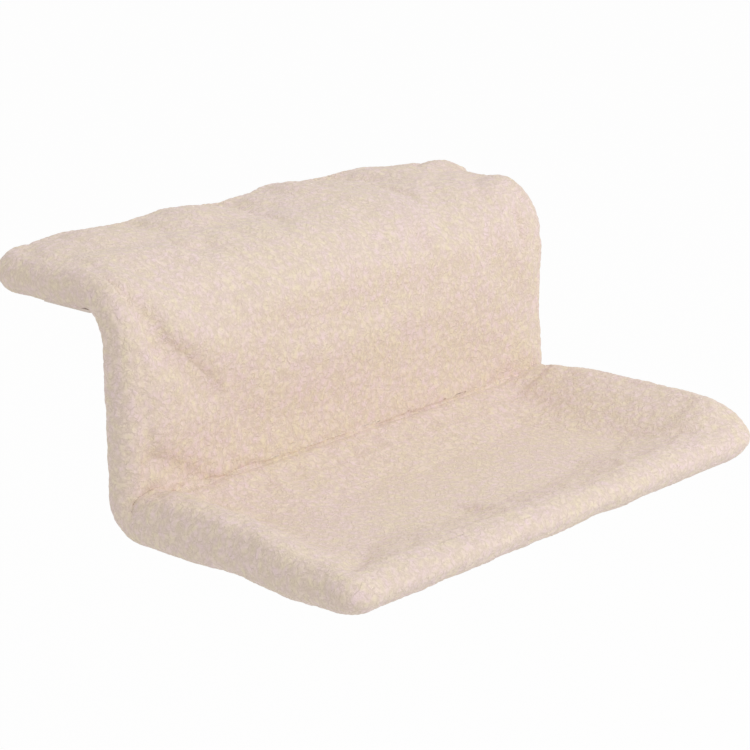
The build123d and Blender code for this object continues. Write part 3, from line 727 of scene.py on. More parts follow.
# Soft shapes of the flap and the back panel on the flat cover, in millimetres: spots from end to end, then
# the width, and the depth as a share of the fold depth. A negative depth is a ridge.
BACK_FOLDS = [
    ([(-224, 180), (-205, 151), (-196, 134), (-169, 112), (-148, 90)], 8.5, 1.1),
    ([(-205, 190), (-170, 174), (-134, 165)], 11, 0.6),
    ([(-186, 160), (-160, 134), (-126, 106)], 16, -0.5),
    ([(-110, 262), (-107, 218), (-104, 180), (-112, 148)], 12, 0.65),
    ([(-60, 132), (20, 138), (106, 140)], 26, 0.65),
    ([(-90, 92), (10, 98), (120, 106)], 22, -0.4),
    ([(140, 152), (170, 122), (200, 80)], 13, 0.55),
    ([(-226, 46), (-205, 54), (-168, 40)], 9, 0.6),
    ([(-68, 290), (-60, 250), (-40, 205)], 22, -0.45),
    ([(-12, 292), (-6, 245), (8, 200)], 13, 0.75),
    ([(48, 290), (52, 246), (66, 210)], 16, -0.8),
    ([(110, 285), (120, 240), (132, 190)], 16, 0.6),
    ([(176, 285), (170, 230), (180, 180)], 18, -0.1),
    ([(-165, 285), (-160, 240), (-168, 206)], 20, -0.45),
    ([(-200, 222), (-120, 212), (-30, 218), (60, 205)], 13, 0.45),
    ([(242, 215), (214, 210), (172, 200), (120, 184)], 9, 1.2),
    ([(240, 248), (205, 242), (160, 238)], 13, -0.5),
    ([(240, 186), (205, 180), (170, 170)], 11, -0.3),
]

# The same for the bed
BED_FOLDS = [
    ([(-186, 14), (-150, 50), (-120, 105)], 14, 0.45),
    ([(150, 20), (120, 60), (80, 85)], 16, 0.4),
    ([(-80, 130), (0, 118), (90, 132)], 22, -0.35),
    ([(90, 100), (140, 122), (186, 150)], 14, 0.4),
    ([(-140, 135), (-175, 158), (-205, 178)], 10, 0.5),
    ([(-226, 60), (-216, 85), (-222, 112)], 10, 0.35),
    ([(-130, 192), (-95, 206), (-75, 226)], 12, 0.7),
    ([(20, 180), (40, 200), (46, 222)], 13, 0.5),
]

# Padded sides: share of their length from the rear seam, then of their height, left and right
SIDE_PROFILES = {
    -1: [
        (0, 0.78), (0.1, 0.92), (0.25, 0.97), (0.4, 0.97), (0.58, 0.84), (0.73, 0.64), (0.86, 0.4),
        (1, 0.25)],
    1: [(0, 0.72), (0.1, 0.88), (0.25, 0.97), (0.5, 1), (0.72, 1), (0.86, 0.92), (0.95, 0.72), (1, 0.5)],
}


def fold_shifts(folds, p, q, depth):
    """How far the folds push the skin in or out."""
    shift = np.zeros(p.shape)
    for spots, width, share in folds:
        distance, reached = run_distance(p, q, np.array(spots) / 1000)
        fade = 0.3 + 0.7 * np.sin(np.pi * np.clip(reached, 0.06, 0.94))
        shift -= depth * share * bell(distance, width / 1000) * fade
    return shift


def slow_shifts(p, q, seed, amount):
    """Slow swells of the padding."""
    flat = np.stack([p.ravel(), q.ravel(), np.zeros(p.size)], axis=1)
    swell = soft_noise(flat, 0.052, seed) + 0.6 * soft_noise(flat, 0.024, seed + 3)
    return (amount * swell).reshape(p.shape)


def pressed_flat(points):
    """The skin's points, kept above the radiator's top and above the strips that lie on it."""
    x, y, z = np.moveaxis(points, -1, 0)
    lying = y > GRIP_Y[0] - REST_LEAD
    off = np.maximum(np.abs(np.abs(x) - GRIP_X) - GRIP_HALF, np.maximum(GRIP_Y[0] - y, y - GRIP_Y[1]))
    rest = FLAP_UNDERSIDE - (FLAP_UNDERSIDE - FLAP_REST) * rise(off, 0.0008, 0.0012)
    points[..., 2] = np.where(lying, smooth_max(z, rest, 0.0006), z)
    return points


def settled(cover, skin, look, pressure):
    """Runs a cover's skin as cloth, held round the tubes and at the seam, and pressed out or in.
    Returns a function that tells how far out the cloth has moved at any spot of the flat cover."""
    p, q = cover.grid(look.settle_spacing)
    start = skin(p, q)
    rows, columns = p.shape
    cloth_piece = new_piece(
        "settling_cloth", start.reshape(-1, 3), grid_quads(rows, columns), None, body=None)
    held = cloth_piece.vertex_groups.new(name="held")
    still = (cover.edge(p, q)[4] > -TUBE_GRIP) | (q < SEAM_GRIP)
    held.add([int(index) for index in np.flatnonzero(still.ravel())], 1.0, "REPLACE")
    cloth = cloth_piece.modifiers.new("settling", "CLOTH").settings
    cloth.quality = 5
    cloth.vertex_group_mass = held.name
    cloth.effector_weights.gravity = 0
    cloth.use_pressure = True
    cloth.uniform_pressure_force = pressure
    cloth.shrink_min = -look.ease
    cloth.bending_stiffness = 1.5
    scene = bpy.context.scene
    for step in range(1, SETTLING_STEPS + 1):
        scene.frame_set(step)
    mesh = cloth_piece.evaluated_get(bpy.context.evaluated_depsgraph_get()).data
    moved = np.empty(3 * rows * columns)
    mesh.vertices.foreach_get("co", moved)
    scene.frame_set(1)
    shift = ((moved.reshape(start.shape) - start) * grid_normals(start)).sum(axis=-1)
    shift = look.settle_cap * np.tanh(shift / look.settle_cap)
    old_mesh = cloth_piece.data
    bpy.data.objects.remove(cloth_piece)
    bpy.data.meshes.remove(old_mesh)
    way = np.sign(p[0, -1] - p[0, 0])

    def shift_at(p_spot, q_spot):
        across_it = np.interp(way * p_spot, way * p[0], np.arange(columns))
        along = np.interp(q_spot, q[:, 0], np.arange(rows))
        column = np.minimum(across_it.astype(int), columns - 2)
        row = np.minimum(along.astype(int), rows - 2)
        u, v = across_it - column, along - row
        near = shift[row, column] * (1 - u) + shift[row, column + 1] * u
        far = shift[row + 1, column] * (1 - u) + shift[row + 1, column + 1] * u
        return near * (1 - v) + far * v

    return shift_at


def leg_openings(points):
    """True for quads away from the legs of the hook lip, which pass through the cover."""
    middles = (points[1:, 1:] + points[:-1, :-1] + points[1:, :-1] + points[:-1, 1:]) / 4
    keep = np.ones(middles.shape[:2], bool)
    for foot, way in LIP_LEGS:
        away = middles - foot
        along = away @ way
        off = np.linalg.norm(away - along[..., None] * way, axis=-1)
        keep &= ~((off < LEG_ROOM) & (along > 0) & (along < 2 * ROLL))
    return keep


# The profile of panel and flap from the bed's seam to the rear bar: length, or radius and turn
BACK_RUNS = [
    (SEAM_RUN, 0),
    (BOTTOM_BEND, math.pi / 2),
    (TOP_Z - BED_Z - TOP_BEND - BOTTOM_BEND, 0),
    (TOP_BEND, -math.pi / 2),
    (REAR_Y - UPRIGHT_Y - TOP_BEND, 0),
]
FLAP_RUN = run_length(BACK_RUNS[:4])


class HAMMOCK_OT_back_cover(bpy.types.Operator):
    """Makes the fleece of the flap and the back panel as one continuous cover"""

    bl_idname = "hammock.back_cover"
    bl_label = "Flap and back panel"

    def execute(self, context):
        look = context.scene.hammock_fleece
        cover = Cover((SEAM_Y, BED_Z, 1), BACK_RUNS)
        p, q = cover.grid(look.spacing * (1))

        def near_fastener(q):
            """1 where a collar or a crossbar's screw stands out from the side tubes, 0 away from them."""
            points = follow(q, cover.start, cover.runs)[0]
            y, z = points[..., 0], points[..., 1]
            collar = smooth_step((y - COLLAR_Y[0]) / FASTENER_FADE + 1.5)
            collar = collar * smooth_step((COLLAR_Y[1] - y) / FASTENER_FADE + 1.5)
            near = np.where(z > TOP_Z - 0.001, collar, 0)
            for bar_z in (UPPER_BAR_Z, LOWER_BAR_Z):
                screw = smooth_step(2.2 - np.abs(z - bar_z) / FASTENER_FADE)
                near = np.maximum(near, np.where(y < 0, screw, 0))
            return near

        def snug_end(p, q):
            """The cover is pulled snug at its right end, most of all on the flap, but not over the collar."""
            on_flap = smooth_step((q - FLAP_RUN + 0.03) / 0.04)
            pulled = SNUG_PANEL * rise(q, 0.03, 0.05) + SNUG_FLAP * on_flap * (1 - near_fastener(q))
            return pulled * rise(p, SNUG_START, SNUG_WIDTH)

        def laid_height(p, q):
            sink = look.slack * rise(cover.inset(p, q), 0.012, 0.05) * rise(q, 0.02, 0.04)
            lift = fold_shifts(BACK_FOLDS, p, q, look.fold_depth) + slow_shifts(p, q, 21, 0.0012)
            lift = lift * rise(q, 0.004, 0.03)
            least = TUBE + look.thickness * 0.45
            return smooth_max(ROLL - sink - snug_end(p, q) + lift, least, 0.001)

        def height(p, q):
            return laid_height(p, q) + settling(p, q)

        def outer_ring(p, q, turn):
            snug = snug_end(p, q) * (1 - rise(turn, 0.9, 0.5))
            crease = 0.35 * np.minimum(-fold_shifts(BACK_FOLDS, p * 1.05, q, look.fold_depth), 0.004)
            full = 0.0012 * rise(turn, 0.8, 0.6) * rise(q, FLAP_RUN, 0.01)
            swell = slow_shifts(p, q + turn * 0.01, 33, 0.0009)
            ring = ROLL - snug - np.maximum(crease, -0.0012) + full + swell
            return smooth_max(ring, TUBE + 0.0026 + 0.0036 * near_fastener(q), 0.001)

        def inner_height(p, q):
            return np.maximum(height(p, q) - look.thickness, TUBE + 0.0005)

        def inner_ring(p, q, turn):
            return INNER_RADIUS + 0.0032 * near_fastener(q)

        settling = settled(cover, lambda p, q: cover.place(p, q, laid_height, outer_ring), look, look.puff)
        outer = pressed_flat(curled(cover.place(p, q, height, outer_ring), look))
        inner = cover.place(p, q, inner_height, inner_ring)
        points, faces = shell(outer, inner, leg_openings(outer))
        piece = new_piece("back_cover", points, faces, fleece_finish("back_fleece_pile", look), body=None)
        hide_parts("flap_fleece", "back_fleece")
        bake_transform(piece)
        return {"FINISHED"}


def sheet_level(p, run, bed):
    """Top of the bed's sheet at its sides, before the padding; run is 0 at the rear seam and 1 in front."""
    spots, shares = zip(*SHEET_SAG)
    return bed.rim - bed.sag * np.interp(run, spots, shares) * np.clip(1 - (p / SIDE_X) ** 2, 0, 1)


class HAMMOCK_OT_bed_cover(bpy.types.Operator):
    """Makes the fleece of the bed, with its padded sides, front roll and sagging sheet"""

    bl_idname = "hammock.bed_cover"
    bl_label = "Bed"

    def execute(self, context):
        look = context.scene.hammock_fleece
        bed = context.scene.hammock_bed
        cover = Cover((SEAM_Y, BED_Z, -1), [(SEAM_Y - FRONT_Y, 0)], SEAM_LAP)
        p, q = cover.grid(look.spacing * (1))
        ridge_x = SIDE_X - bed.ridge_inset

        def sheet_at(p, q):
            """The sheet's top before its seam, its front and its sides."""
            run = np.clip((q - SHEET_SAG_START) / (cover.end - SHEET_SAG_START), 0, 1)
            return sheet_level(p, run, bed)

        def side_rise(p, q):
            tallest = np.zeros(p.shape)
            for sign, profile in SIDE_PROFILES.items():
                spots, shares = zip(*profile)
                tall = bed.side_height * np.interp(np.clip(q / cover.end, 0, 1), spots, shares)
                inner = bed.side_slope * (1.0 if sign < 0 else RIGHT_SLOPE_SHARE)
                fall = smooth_step(1 - (ridge_x - sign * p) / inner)
                outer_share = np.clip(1 - ((sign * p - ridge_x) / (SIDE_X + ROLL - ridge_x)) ** 2, 0, 1)
                over = np.where(sign * p > ridge_x, np.sqrt(outer_share), fall)
                tallest = np.maximum(tallest, tall * over)
            return tallest

        def laid_height(p, q):
            sheet = sheet_at(p, q)
            sheet = sheet + (ROLL - sheet) * smooth_step(1 - q / 0.016)
            front = np.clip(1 - (cover.end - q) / bed.front_slope, 0, 1)
            sheet = sheet + (ROLL - bed.edge_drop - sheet) * smooth_step(front)
            level = smooth_max(sheet, side_rise(p, q), 0.004) - 0.0004
            lift = fold_shifts(BED_FOLDS, p, q, look.fold_depth) + slow_shifts(p, q, 57, 0.0011)
            return level + lift * rise(q, 0.002, 0.02)

        def height(p, q):
            lapped = 0.0005 * (1 - smooth_step(q / 0.004))
            return laid_height(p, q) + settling(p, q) + lapped

        def outer_ring(p, q, turn):
            dent = 0.5 * np.clip(-fold_shifts(BED_FOLDS, p, q, look.fold_depth), -0.002, 0.003)
            past = np.clip((q - cover.end + CORNER_BEND) / CORNER_BEND, 0, 1)
            in_front = smooth_step(past)
            lip = bed.edge_drop * (0.9 * bell(turn - 1.45, 0.42) - bell(turn - 0.1, 0.6)) * in_front
            corner = np.clip((-p - SIDE_X + CORNER_BEND) / CORNER_BEND, 0, 1) * past
            point = bed.corner_point * np.clip(2 * corner, 0, 1) ** 2 * bell(turn - 1.5, 0.9)
            tucked = 0.3 * np.maximum(-q, 0)
            return ROLL - dent + lip + point - tucked + slow_shifts(p, q + turn * 0.01, 61, 0.001)

        def inner_height(p, q):
            room = np.sqrt(np.clip(INNER_RADIUS**2 - cover.inset(p, q) ** 2, 0, None))
            lowest = sheet_at(p, q) - look.thickness - 0.0004
            return np.maximum(np.maximum(height(p, q) - look.thickness, room), lowest)

        def inner_ring(p, q, turn):
            return INNER_RADIUS + 0.003 * rise(turn, 1.4, 0.3) + 0.15 * np.maximum(-q, 0)

        settling = settled(cover, lambda p, q: cover.place(p, q, laid_height, outer_ring), look, -bed.weight)
        outer = curled(cover.place(p, q, height, outer_ring), look)
        inner = cover.place(p, q, inner_height, inner_ring)
        points, faces = shell(outer, inner)
        piece = new_piece("bed_cover", points, faces, fleece_finish("bed_fleece_pile", look))
        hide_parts("bed_fleece")
        return {"FINISHED"}


def stitch_row(path, outward, pitch, thread=0.0004):
    """Points and faces of a row of stitches along a path, each a small rounded bar on the cloth."""
    steps = np.linalg.norm(np.diff(path, axis=0), axis=1)
    reach = np.concatenate([[0], np.cumsum(steps)])
    count = max(1, int(reach[-1] / pitch))
    spots = (np.arange(count) + 0.5) * reach[-1] / count
    middles, heads, lifts = (
        np.stack([np.interp(places, reach, track[:, axis]) for axis in range(3)], axis=1)
        for places, track in ((spots, path), (spots + pitch * 0.36, path), (spots, outward)))
    bar_faces = tube_faces(4, 6) + [tuple(range(5, -1, -1)), tuple(range(18, 24))]
    points, faces = [], []
    for middle, head, lift in zip(middles, heads, lifts):
        along = head - middle
        lift = lift / max(np.linalg.norm(lift), 1e-9)
        side = np.cross(along, lift)
        side = side / max(np.linalg.norm(side), 1e-9) * thread
        first = len(points)
        for share, size in ((-1, 0.35), (-0.6, 1), (0.6, 1), (1, 0.35)):
            base = middle + along * share + lift * thread * (0.6 if abs(share) < 1 else 0.1)
            for turn in range(6):
                angle = turn * math.pi / 3
                points.append(base + size * (side * math.cos(angle) + lift * thread * math.sin(angle)))
        faces += [tuple(first + spot for spot in face) for face in bar_faces]
    return points, faces


def tube_faces(rings, sides, closed=False):
    """The faces round a tube of rings; a closed one ends where it starts."""
    faces = []
    for ring in range(rings if closed else rings - 1):
        here, there = ring * sides, (ring + 1) % rings * sides
        for turn in range(sides):
            after = (turn + 1) % sides
            faces.append((here + turn, here + after, there + after, there + turn))
    return faces


def ring_tube(path, ups, wide, high, sides=10):
    """Points and faces of a closed tube with an oval section round a closed path."""
    ahead = np.roll(path, -1, axis=0) - np.roll(path, 1, axis=0)
    across_it = np.cross(ahead, ups)
    across_it /= np.linalg.norm(across_it, axis=1)[:, None]
    turns = np.arange(sides) * 2 * math.pi / sides
    rings = path[:, None] + wide * np.cos(turns)[:, None] * across_it[:, None] + (
        high * np.sin(turns)[:, None] * ups[:, None])
    return rings.reshape(-1, 3), tube_faces(len(path), sides, closed=True)


def round_box(half_width, half_length, corner, steps=6):
    """A closed path round a rectangle with rounded corners, on the flat."""
    spots = []
    for quarter, (sx, sy) in enumerate([(1, 1), (-1, 1), (-1, -1), (1, -1)]):
        for step in range(steps + 1):
            angle = (quarter + step / steps) * math.pi / 2
            spots.append((
                sx * (half_width - corner) + corner * math.cos(angle),
                sy * (half_length - corner) + corner * math.sin(angle)))
    path = []
    for (x0, y0), (x1, y1) in zip(spots, spots[1:] + spots[:1]):
        count = max(1, int(math.hypot(x1 - x0, y1 - y0) / 0.002))
        path += [(x0 + (x1 - x0) * k / count, y0 + (y1 - y0) * k / count) for k in range(count)]
    return np.array(path)


def under_profile(start, runs, p, q, level):
    """Points at a level below a profile of straight runs and bends."""
    points, _, normals = follow(q, start, runs)
    return np.concatenate([p[..., None], points - normals * level[..., None]], axis=-1)


def bed_drop(p, q):
    """How far the bed's lining and wadding hang down with the sheet."""
    run = np.clip((q - LINING_SAG_START) / (SEAM_Y - FRONT_Y - LINING_SAG_START), 0, 1)
    spots, shares = zip(*LINING_SAG)
    return SAG * np.interp(run, spots, shares) * np.clip(1 - (p / SIDE_X) ** 2, 0, 1)


class Lining:
    """A woven lining on the radiator's side of a cover, with hems, stitches and bound openings. It follows
    a profile at a depth below the tubes' centre lines, and half is half of its width."""

    def __init__(self, name, start, runs, half, length, corner, depth, look):
        self.name, self.start, self.runs = name, start, runs
        self.half, self.length, self.corner = half, length, corner
        self.depth, self.look = depth, look
        self.openings = []

    def shares(self, p, q):
        """The share of the way along the lining, and how free it is of its side hems."""
        return np.clip(q / self.length, 0, 1), np.clip(1 - (p / self.half) ** 4, 0, 1)

    def spot(self, p, q, extra=0.0):
        """Points of the lining's outer side, moved out by extra."""
        return under_profile(self.start, self.runs, p, q, self.depth + self.drop(p, q) + extra)

    def hem(self, p, q):
        """1 on the folded hem along the edges, 0 within them."""
        inset = np.minimum(self.half - np.abs(p), np.minimum(q, self.length - q))
        return 1 - smooth_step((inset - HEM + 0.0006) / 0.0012)

    def lifted(self, p, q, extra):
        """A path on the lining's outer side with its outward ways."""
        path = self.spot(p, q, extra)
        return path, self.spot(p, q, extra + 0.001) - path

    def row(self, inset):
        """A path along the lining's edge, in from it."""
        middle_q = self.length / 2
        flat = round_box(self.half - inset, middle_q - inset, max(self.corner - inset, 0.002))
        return self.lifted(flat[:, 0], flat[:, 1] + middle_q, 0.0003)

    def build(self, finish, thread, spacing):
        """The lining with its stitches and bindings: the lining first, then the rest."""
        stops_p = [p0 + side * half_p for p0, _, half_p, _ in self.openings for side in (-1, 1)]
        stops_q = [q0 + side * half_q for _, q0, _, half_q in self.openings for side in (-1, 1)]
        p, q = flat_grid(self.half, 0.0, self.length, self.corner, spacing, (stops_p, stops_q))
        middle_p, middle_q = ((grid[1:, 1:] + grid[:-1, :-1]) / 2 for grid in (p, q))
        keep = np.ones(middle_p.shape, bool)
        for p0, q0, half_p, half_q in self.openings:
            keep &= ~((np.abs(middle_p - p0) < half_p) & (np.abs(middle_q - q0) < half_q))
        pucker = slow_shifts(p * 2.2, q * 2.2, 91, 0.00035)
        seen = self.spot(p, q, 0.0003 * self.hem(p, q) + pucker)
        back = self.spot(p, q, pucker - LINING_THICKNESS)
        pieces = [new_piece(self.name, *shell(back, seen, keep), finish, body=None)]
        stitches, stitch_faces = [], []
        for inset in STITCH_INSETS:
            more, more_faces = stitch_row(*self.row(inset), self.look.stitch)
            stitch_faces += [tuple(spot + len(stitches) for spot in face) for face in more_faces]
            stitches += more
        pieces.append(new_piece(f"{self.name}_stitches", stitches, stitch_faces, thread, body=None))
        for index, (p0, q0, half_p, half_q) in enumerate(self.openings):
            flat = round_box(half_p + BINDING_ROOM, half_q + BINDING_ROOM, BINDING_CORNER)
            path, ups = self.lifted(flat[:, 0] + p0, flat[:, 1] + q0, 0.0001)
            ring = ring_tube(path, ups, BINDING_WIDTH, BINDING_HEIGHT)
            pieces.append(new_piece(f"{self.name}_binding_{index}", *ring, finish, body=None))
        return pieces


class FlapLining(Lining):
    """The lining under the flap, slack between the rolls"""

    def drop(self, p, q):
        run, wide = self.shares(p, q)
        return 0.0016 * wide * np.sin(np.pi * run) + slow_shifts(p, q, 95, 0.0004) * wide


class BackLining(Lining):
    """The lining behind the panel, slack between its bars"""

    def drop(self, p, q):
        run, wide = self.shares(p, q)
        return 0.0011 * wide * np.sin(3 * np.pi * run) ** 2 + slow_shifts(p, q, 97, 0.0005) * wide


class BedLining(Lining):
    """The lining under the bed, which hangs down with the sheet"""

    def drop(self, p, q):
        return bed_drop(p, q)


class HAMMOCK_OT_linings(bpy.types.Operator):
    """Makes the woven linings on the radiator's side, with their hems, stitches and bound openings"""

    bl_idname = "hammock.linings"
    bl_label = "Linings"

    def execute(self, context):
        look = context.scene.hammock_lining
        finish = woven_finish("lining_weave", look.colour)
        thread = woven_finish("stitch_thread", look.thread, 9000, 0.0001)
        spacing = LINING_SPACING

        low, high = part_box("flap_lining")
        depth = TOP_Z - low[2]
        reach = high[1] - low[1]
        flap_flat = (2 * high[0], reach)
        flap = FlapLining(
            "flap_lining_cloth", (low[1], TOP_Z, 1), [(reach, 0)], high[0], reach, FLAP_LINING_CORNER, depth,
            look)
        window_q = middle("thumb_screw_left", 1) - SCREW_WINDOW_BACK - low[1]
        for side, inner_end, outward in (("left", 1, -SCREW_WINDOW_OUT), ("right", 0, SCREW_WINDOW_OUT)):
            window_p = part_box(f"thumb_screw_{side}")[inner_end][0] + outward
            flap.openings.append((window_p, window_q, *SCREW_WINDOW))

        low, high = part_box("back_lining")
        foot = UPRIGHT_Y - BOTTOM_BEND - low[1]
        runs = [(foot, 0), *BACK_RUNS[1:4], (PANEL_SEAM_Y - UPRIGHT_Y - TOP_BEND, 0)]
        back_flat = (2 * high[0], run_length(runs))
        back = BackLining(
            "back_lining_cloth", (low[1], BED_Z, 1), runs, high[0], back_flat[1] - 0.0004, 0.0, depth, look)
        bumper_q = foot + BOTTOM_BEND * math.pi / 2 + LOWER_BAR_Z - BED_Z - BOTTOM_BEND
        half_width, half_height = (across("bumper_left", axis) / 2 + BUMPER_ROOM for axis in (0, 2))
        for side in ("left", "right"):
            back.openings.append((middle(f"bumper_{side}", 0), bumper_q, half_width, half_height))

        low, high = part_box("bed_lining")
        reach = high[1] - low[1]
        bed_flat = (2 * high[0], reach)
        under = BedLining(
            "bed_lining_cloth", (high[1], BED_Z, -1), [(reach, 0)], high[0] - 0.0004, reach - 0.0022,
            BED_LINING_CORNER, BED_Z - high[2] + LINING_THICKNESS, look)

        for lining, node, flat, held, cover in (
                (flap, "flap_lining", flap_flat, "stretched", "back_cover"),
                (back, "back_lining", back_flat, "stretched", "back_cover"),
                (under, "bed_lining", bed_flat, "hung", "bed_cover")):
            cloth, *trim = lining.build(finish, thread, spacing)
            for piece in (cloth, *trim):
                if lining is flap:
                    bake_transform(piece)
                else:
                    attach(piece, "frame")
            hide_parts(node)
        return {"FINISHED"}


class HAMMOCK_OT_stuffing(bpy.types.Operator):
    """Makes the wadding of the bed, the fillings of its sides and its closure tapes"""

    bl_idname = "hammock.stuffing"
    bl_label = "Wadding, fillings and tapes"

    def execute(self, context):
        look = context.scene.hammock_lining
        finish = wadding_finish("spun_wadding")
        spacing = PAD_SPACING

        low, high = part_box("bed_wadding")
        lane = ((high[1], BED_Z, -1), [(high[1] - low[1], 0)])
        p, q = flat_grid(high[0] - 0.0012, 0.0, high[1] - low[1] - 0.003, PAD_CORNER, spacing)
        across_it, along = (np.cos(way * 2 * math.pi / QUILT_PITCH) for way in (p, q))
        quilt = QUILT_DEPTH * across_it * along
        drop = bed_drop(p, q)
        top = drop + (BED_Z - high[2] + 0.0006 - quilt + slow_shifts(p, q, 101, 0.0002))
        bottom = drop + (-(low[2] - BED_Z) - SAG - 0.0004 + quilt)
        points, faces = shell(under_profile(*lane, p, q, top), under_profile(*lane, p, q, bottom))
        pad = new_piece("bed_wadding_pad", points, faces, finish)
        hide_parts("bed_wadding")

        ends = np.linspace(-1, 1, 60)[:, None]
        turns = np.arange(28) * 2 * math.pi / 28
        puff = (1 - np.abs(ends) ** 5) ** 0.5
        for side in ("left", "right"):
            node = f"bolster_filling_{side}"
            low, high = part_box(node)
            x = middle(node, 0) + (high[0] - low[0]) / 2 * puff * np.cos(turns)
            y = np.broadcast_to((low[1] + high[1]) / 2 + ends * (high[1] - low[1]) / 2, x.shape)
            z = FILLING_Z + FILLING_HALF_HEIGHT * puff * np.sin(turns)
            body = np.stack([x, y, z], axis=-1)
            lumps = soft_noise(body.reshape(-1, 3), 0.012, 111).reshape(x.shape)
            body[..., 0] += 0.0004 * lumps * np.cos(turns)
            faces = [(a, d, c, b) for a, b, c, d in tube_faces(len(ends), len(turns))]
            roll = new_piece(f"side_filling_{side}", body.reshape(-1, 3), faces, finish)
            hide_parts(node)

        for node, bristles, under in (
                ("hook_strip", 900, "back_lining_cloth"), ("loop_strip", 500, "bed_lining_cloth")):
            low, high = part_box(node)
            p, q = np.meshgrid(spaced(low[0], high[0], 0.003), spaced(low[1], high[1], 0.001))
            edge = np.minimum(high[0] - np.abs(p), np.minimum(q - low[1], high[1] - q))
            soft = 0.0002 * (1 - smooth_step(edge / 0.0012))
            top = np.stack([p, q, high[2] - 0.0001 - soft], axis=-1)
            bottom = np.stack([p, q, low[2] + 0.0001 + soft], axis=-1)
            tape = tape_finish(f"{node}_pile", look.colour, bristles)
            piece = new_piece(f"{node}_tape", *shell(top, bottom), tape)
            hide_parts(node)
        return {"FINISHED"}


class HAMMOCK_OT_eyelets(bpy.types.Operator):
    """Makes the bound eyelets where the legs of the hook lip leave the flap"""

    bl_idname = "hammock.eyelets"
    bl_label = "Eyelets of the hook's legs"

    def execute(self, context):
        finish = woven_finish("eyelet_binding", context.scene.hammock_lining.colour, 3000)
        turns = np.arange(40) * 2 * math.pi / 40
        for side, (foot, way) in zip(("left", "right"), LIP_LEGS):
            first = np.array([1.0, 0, 0])
            second = np.cross(way, first)
            centre = foot + way * (ROLL - 0.0006)
            ring = centre + EYELET * (np.cos(turns)[:, None] * first + np.sin(turns)[:, None] * second)
            ups = np.broadcast_to(way, ring.shape)
            points, faces = ring_tube(ring, ups, BINDING_WIDTH, EYELET_HEIGHT)
            eyelet = new_piece(f"eyelet_{side}", points, faces, finish, body="hook")
        return {"FINISHED"}


class HAMMOCK_OT_frame_finish(bpy.types.Operator):
    """Finishes the tubes, fasteners, clamps and rubber pieces"""

    bl_idname = "hammock.frame_finish"
    bl_label = "Frame, fasteners and rubber"

    def execute(self, context):
        look = context.scene.hammock_frame
        finishes = {
            "frame_steel": coat_finish("powder_coat", look.coat),
            "zinc_steel": zinc_finish("zinc_plate", look.zinc),
            "collar_plastic": moulded_finish("collar_moulding", look.plastic),
            "knob_plastic": moulded_finish("knob_moulding", look.knob, 0.4),
            "dark_rubber": rubber_finish("dark_rubber_skin", look.rubber),
            "pale_rubber": rubber_finish("pale_rubber_skin", look.grip),
        }
        for part in frame["record"]["subparts"]:
            if part["material_slot"] in finishes:
                node = frame["nodes"][part["node"]]
                node.data.materials.clear()
                node.data.materials.append(finishes[part["material_slot"]])
        return {"FINISHED"}


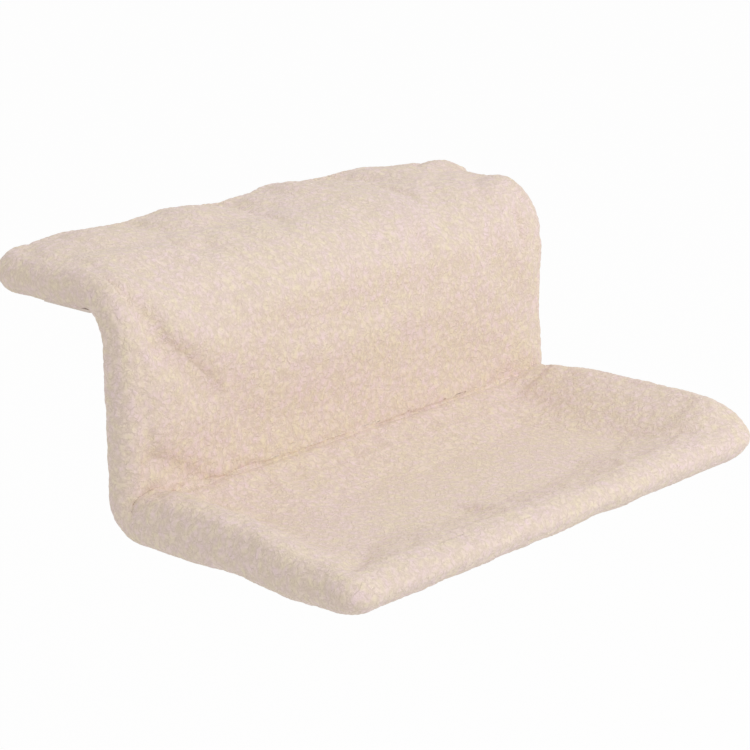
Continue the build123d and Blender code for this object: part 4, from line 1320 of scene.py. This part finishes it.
class HAMMOCK_OT_stage(bpy.types.Operator):
    """Sets the camera, the floor, the light of the room and the lamp"""

    bl_idname = "hammock.stage"
    bl_label = "Stage"

    def execute(self, context):
        look = context.scene.hammock_stage
        scene = context.scene
        flat = Vector((math.sin(look.azimuth), -math.cos(look.azimuth), 0))
        back = flat * math.cos(look.elevation) + Vector((0, 0, math.sin(look.elevation)))
        right = Vector((0, 0, 1)).cross(back).normalized()
        up = back.cross(right)
        turned = Matrix((right, up, back)).transposed().to_4x4()
        camera = bpy.data.objects.new("camera", bpy.data.cameras.new("camera"))
        camera.matrix_world = (
            Matrix.Translation(Vector(look.target) + back * look.distance)
            @ turned @ Matrix.Rotation(look.roll, 4, "Z"))
        camera.data.lens = look.lens
        camera.data.sensor_width = SENSOR
        scene.collection.objects.link(camera)
        scene.camera = camera

        finish = Finish("pale_floor")
        plain = plain_rays(finish)
        ground = finish.node("ShaderNodeBsdfDiffuse", None, {"Color": (0.9, 0.9, 0.9, 1)})
        glow = finish.node("ShaderNodeEmission", None, {"Color": (1, 1, 1, 1), "Strength": 1.0})
        mixed = finish.node("ShaderNodeMixShader", None, {
            0: plain * 0.95, 1: ground.outputs[0], 2: glow.outputs[0]})
        finish.node("ShaderNodeOutputMaterial", None, {"Surface": mixed.outputs[0]})
        corners = [
            (FLOOR_HALF * x, FLOOR_HALF * y, -look.floor_drop)
            for x, y in ((-1, -1), (1, -1), (1, 1), (-1, 1))
        ]
        floor = new_piece("floor", corners, [(0, 1, 2, 3)], finish.holder, body=None, smooth=False)

        room = Finish("soft_room", "worlds")
        plain = plain_rays(room)
        soft = room.node("ShaderNodeBackground", None, {
            "Color": (1.0, 0.985, 0.965, 1), "Strength": look.room_light})
        white = room.node("ShaderNodeBackground", None, {"Color": (1, 1, 1, 1), "Strength": 1.0})
        both = room.node("ShaderNodeMixShader", None, {0: plain, 1: soft.outputs[0], 2: white.outputs[0]})
        room.node("ShaderNodeOutputWorld", None, {"Surface": both.outputs[0]})
        scene.world = room.holder

        lamp = bpy.data.objects.new("key_lamp", bpy.data.lights.new("key_lamp", "AREA"))
        lamp.data.shape = "DISK"
        lamp.data.size = LAMP_SIZE
        lamp.data.energy = look.key_power
        lamp_turn = (LAMP_AIM - LAMP_SPOT).to_track_quat("-Z", "Y").to_matrix().to_4x4()
        lamp.matrix_world = Matrix.Translation(LAMP_SPOT) @ lamp_turn
        scene.collection.objects.link(lamp)
        scene.view_settings.view_transform = "Standard"
        return {"FINISHED"}


class HAMMOCK_PT_panel(bpy.types.Panel):
    """Lists the hammock's pieces and their sizes and colours"""

    bl_idname = "HAMMOCK_PT_panel"
    bl_label = "Radiator Hammock"
    bl_space_type = "VIEW_3D"
    bl_region_type = "UI"
    bl_category = "Hammock"

    def draw(self, context):
        layout = self.layout
        for name in SETTINGS:
            group = getattr(context.scene, name)
            box = layout.box()
            for key in group.bl_rna.properties.keys():
                if key not in ("rna_type", "name"):
                    box.prop(group, key)
        for operator in OPERATORS:
            layout.operator(operator.bl_idname)


SETTINGS = {
    "hammock_fleece": FleeceSettings,
    "hammock_bed": BedSettings,
    "hammock_lining": LiningSettings,
    "hammock_frame": FrameSettings,
    "hammock_stage": StageSettings,
}
OPERATORS = [
    HAMMOCK_OT_back_cover,
    HAMMOCK_OT_bed_cover,
    HAMMOCK_OT_linings,
    HAMMOCK_OT_stuffing,
    HAMMOCK_OT_eyelets,
    HAMMOCK_OT_frame_finish,
    HAMMOCK_OT_stage,
]


def register():
    for name, group in SETTINGS.items():
        bpy.utils.register_class(group)
        setattr(bpy.types.Scene, name, PointerProperty(type=group))
    for operator in (*OPERATORS, HAMMOCK_PT_panel):
        bpy.utils.register_class(operator)


def unregister():
    for operator in (HAMMOCK_PT_panel, *reversed(OPERATORS)):
        bpy.utils.unregister_class(operator)
    for name, group in SETTINGS.items():
        delattr(bpy.types.Scene, name)
        bpy.utils.unregister_class(group)


def main():
    register()
    bpy.ops.hammock.back_cover()
    bpy.ops.hammock.bed_cover()
    bpy.ops.hammock.linings()
    bpy.ops.hammock.stuffing()
    bpy.ops.hammock.eyelets()
    bpy.ops.hammock.frame_finish()
    bpy.ops.hammock.stage()


if __name__ == "__main__":
    main()
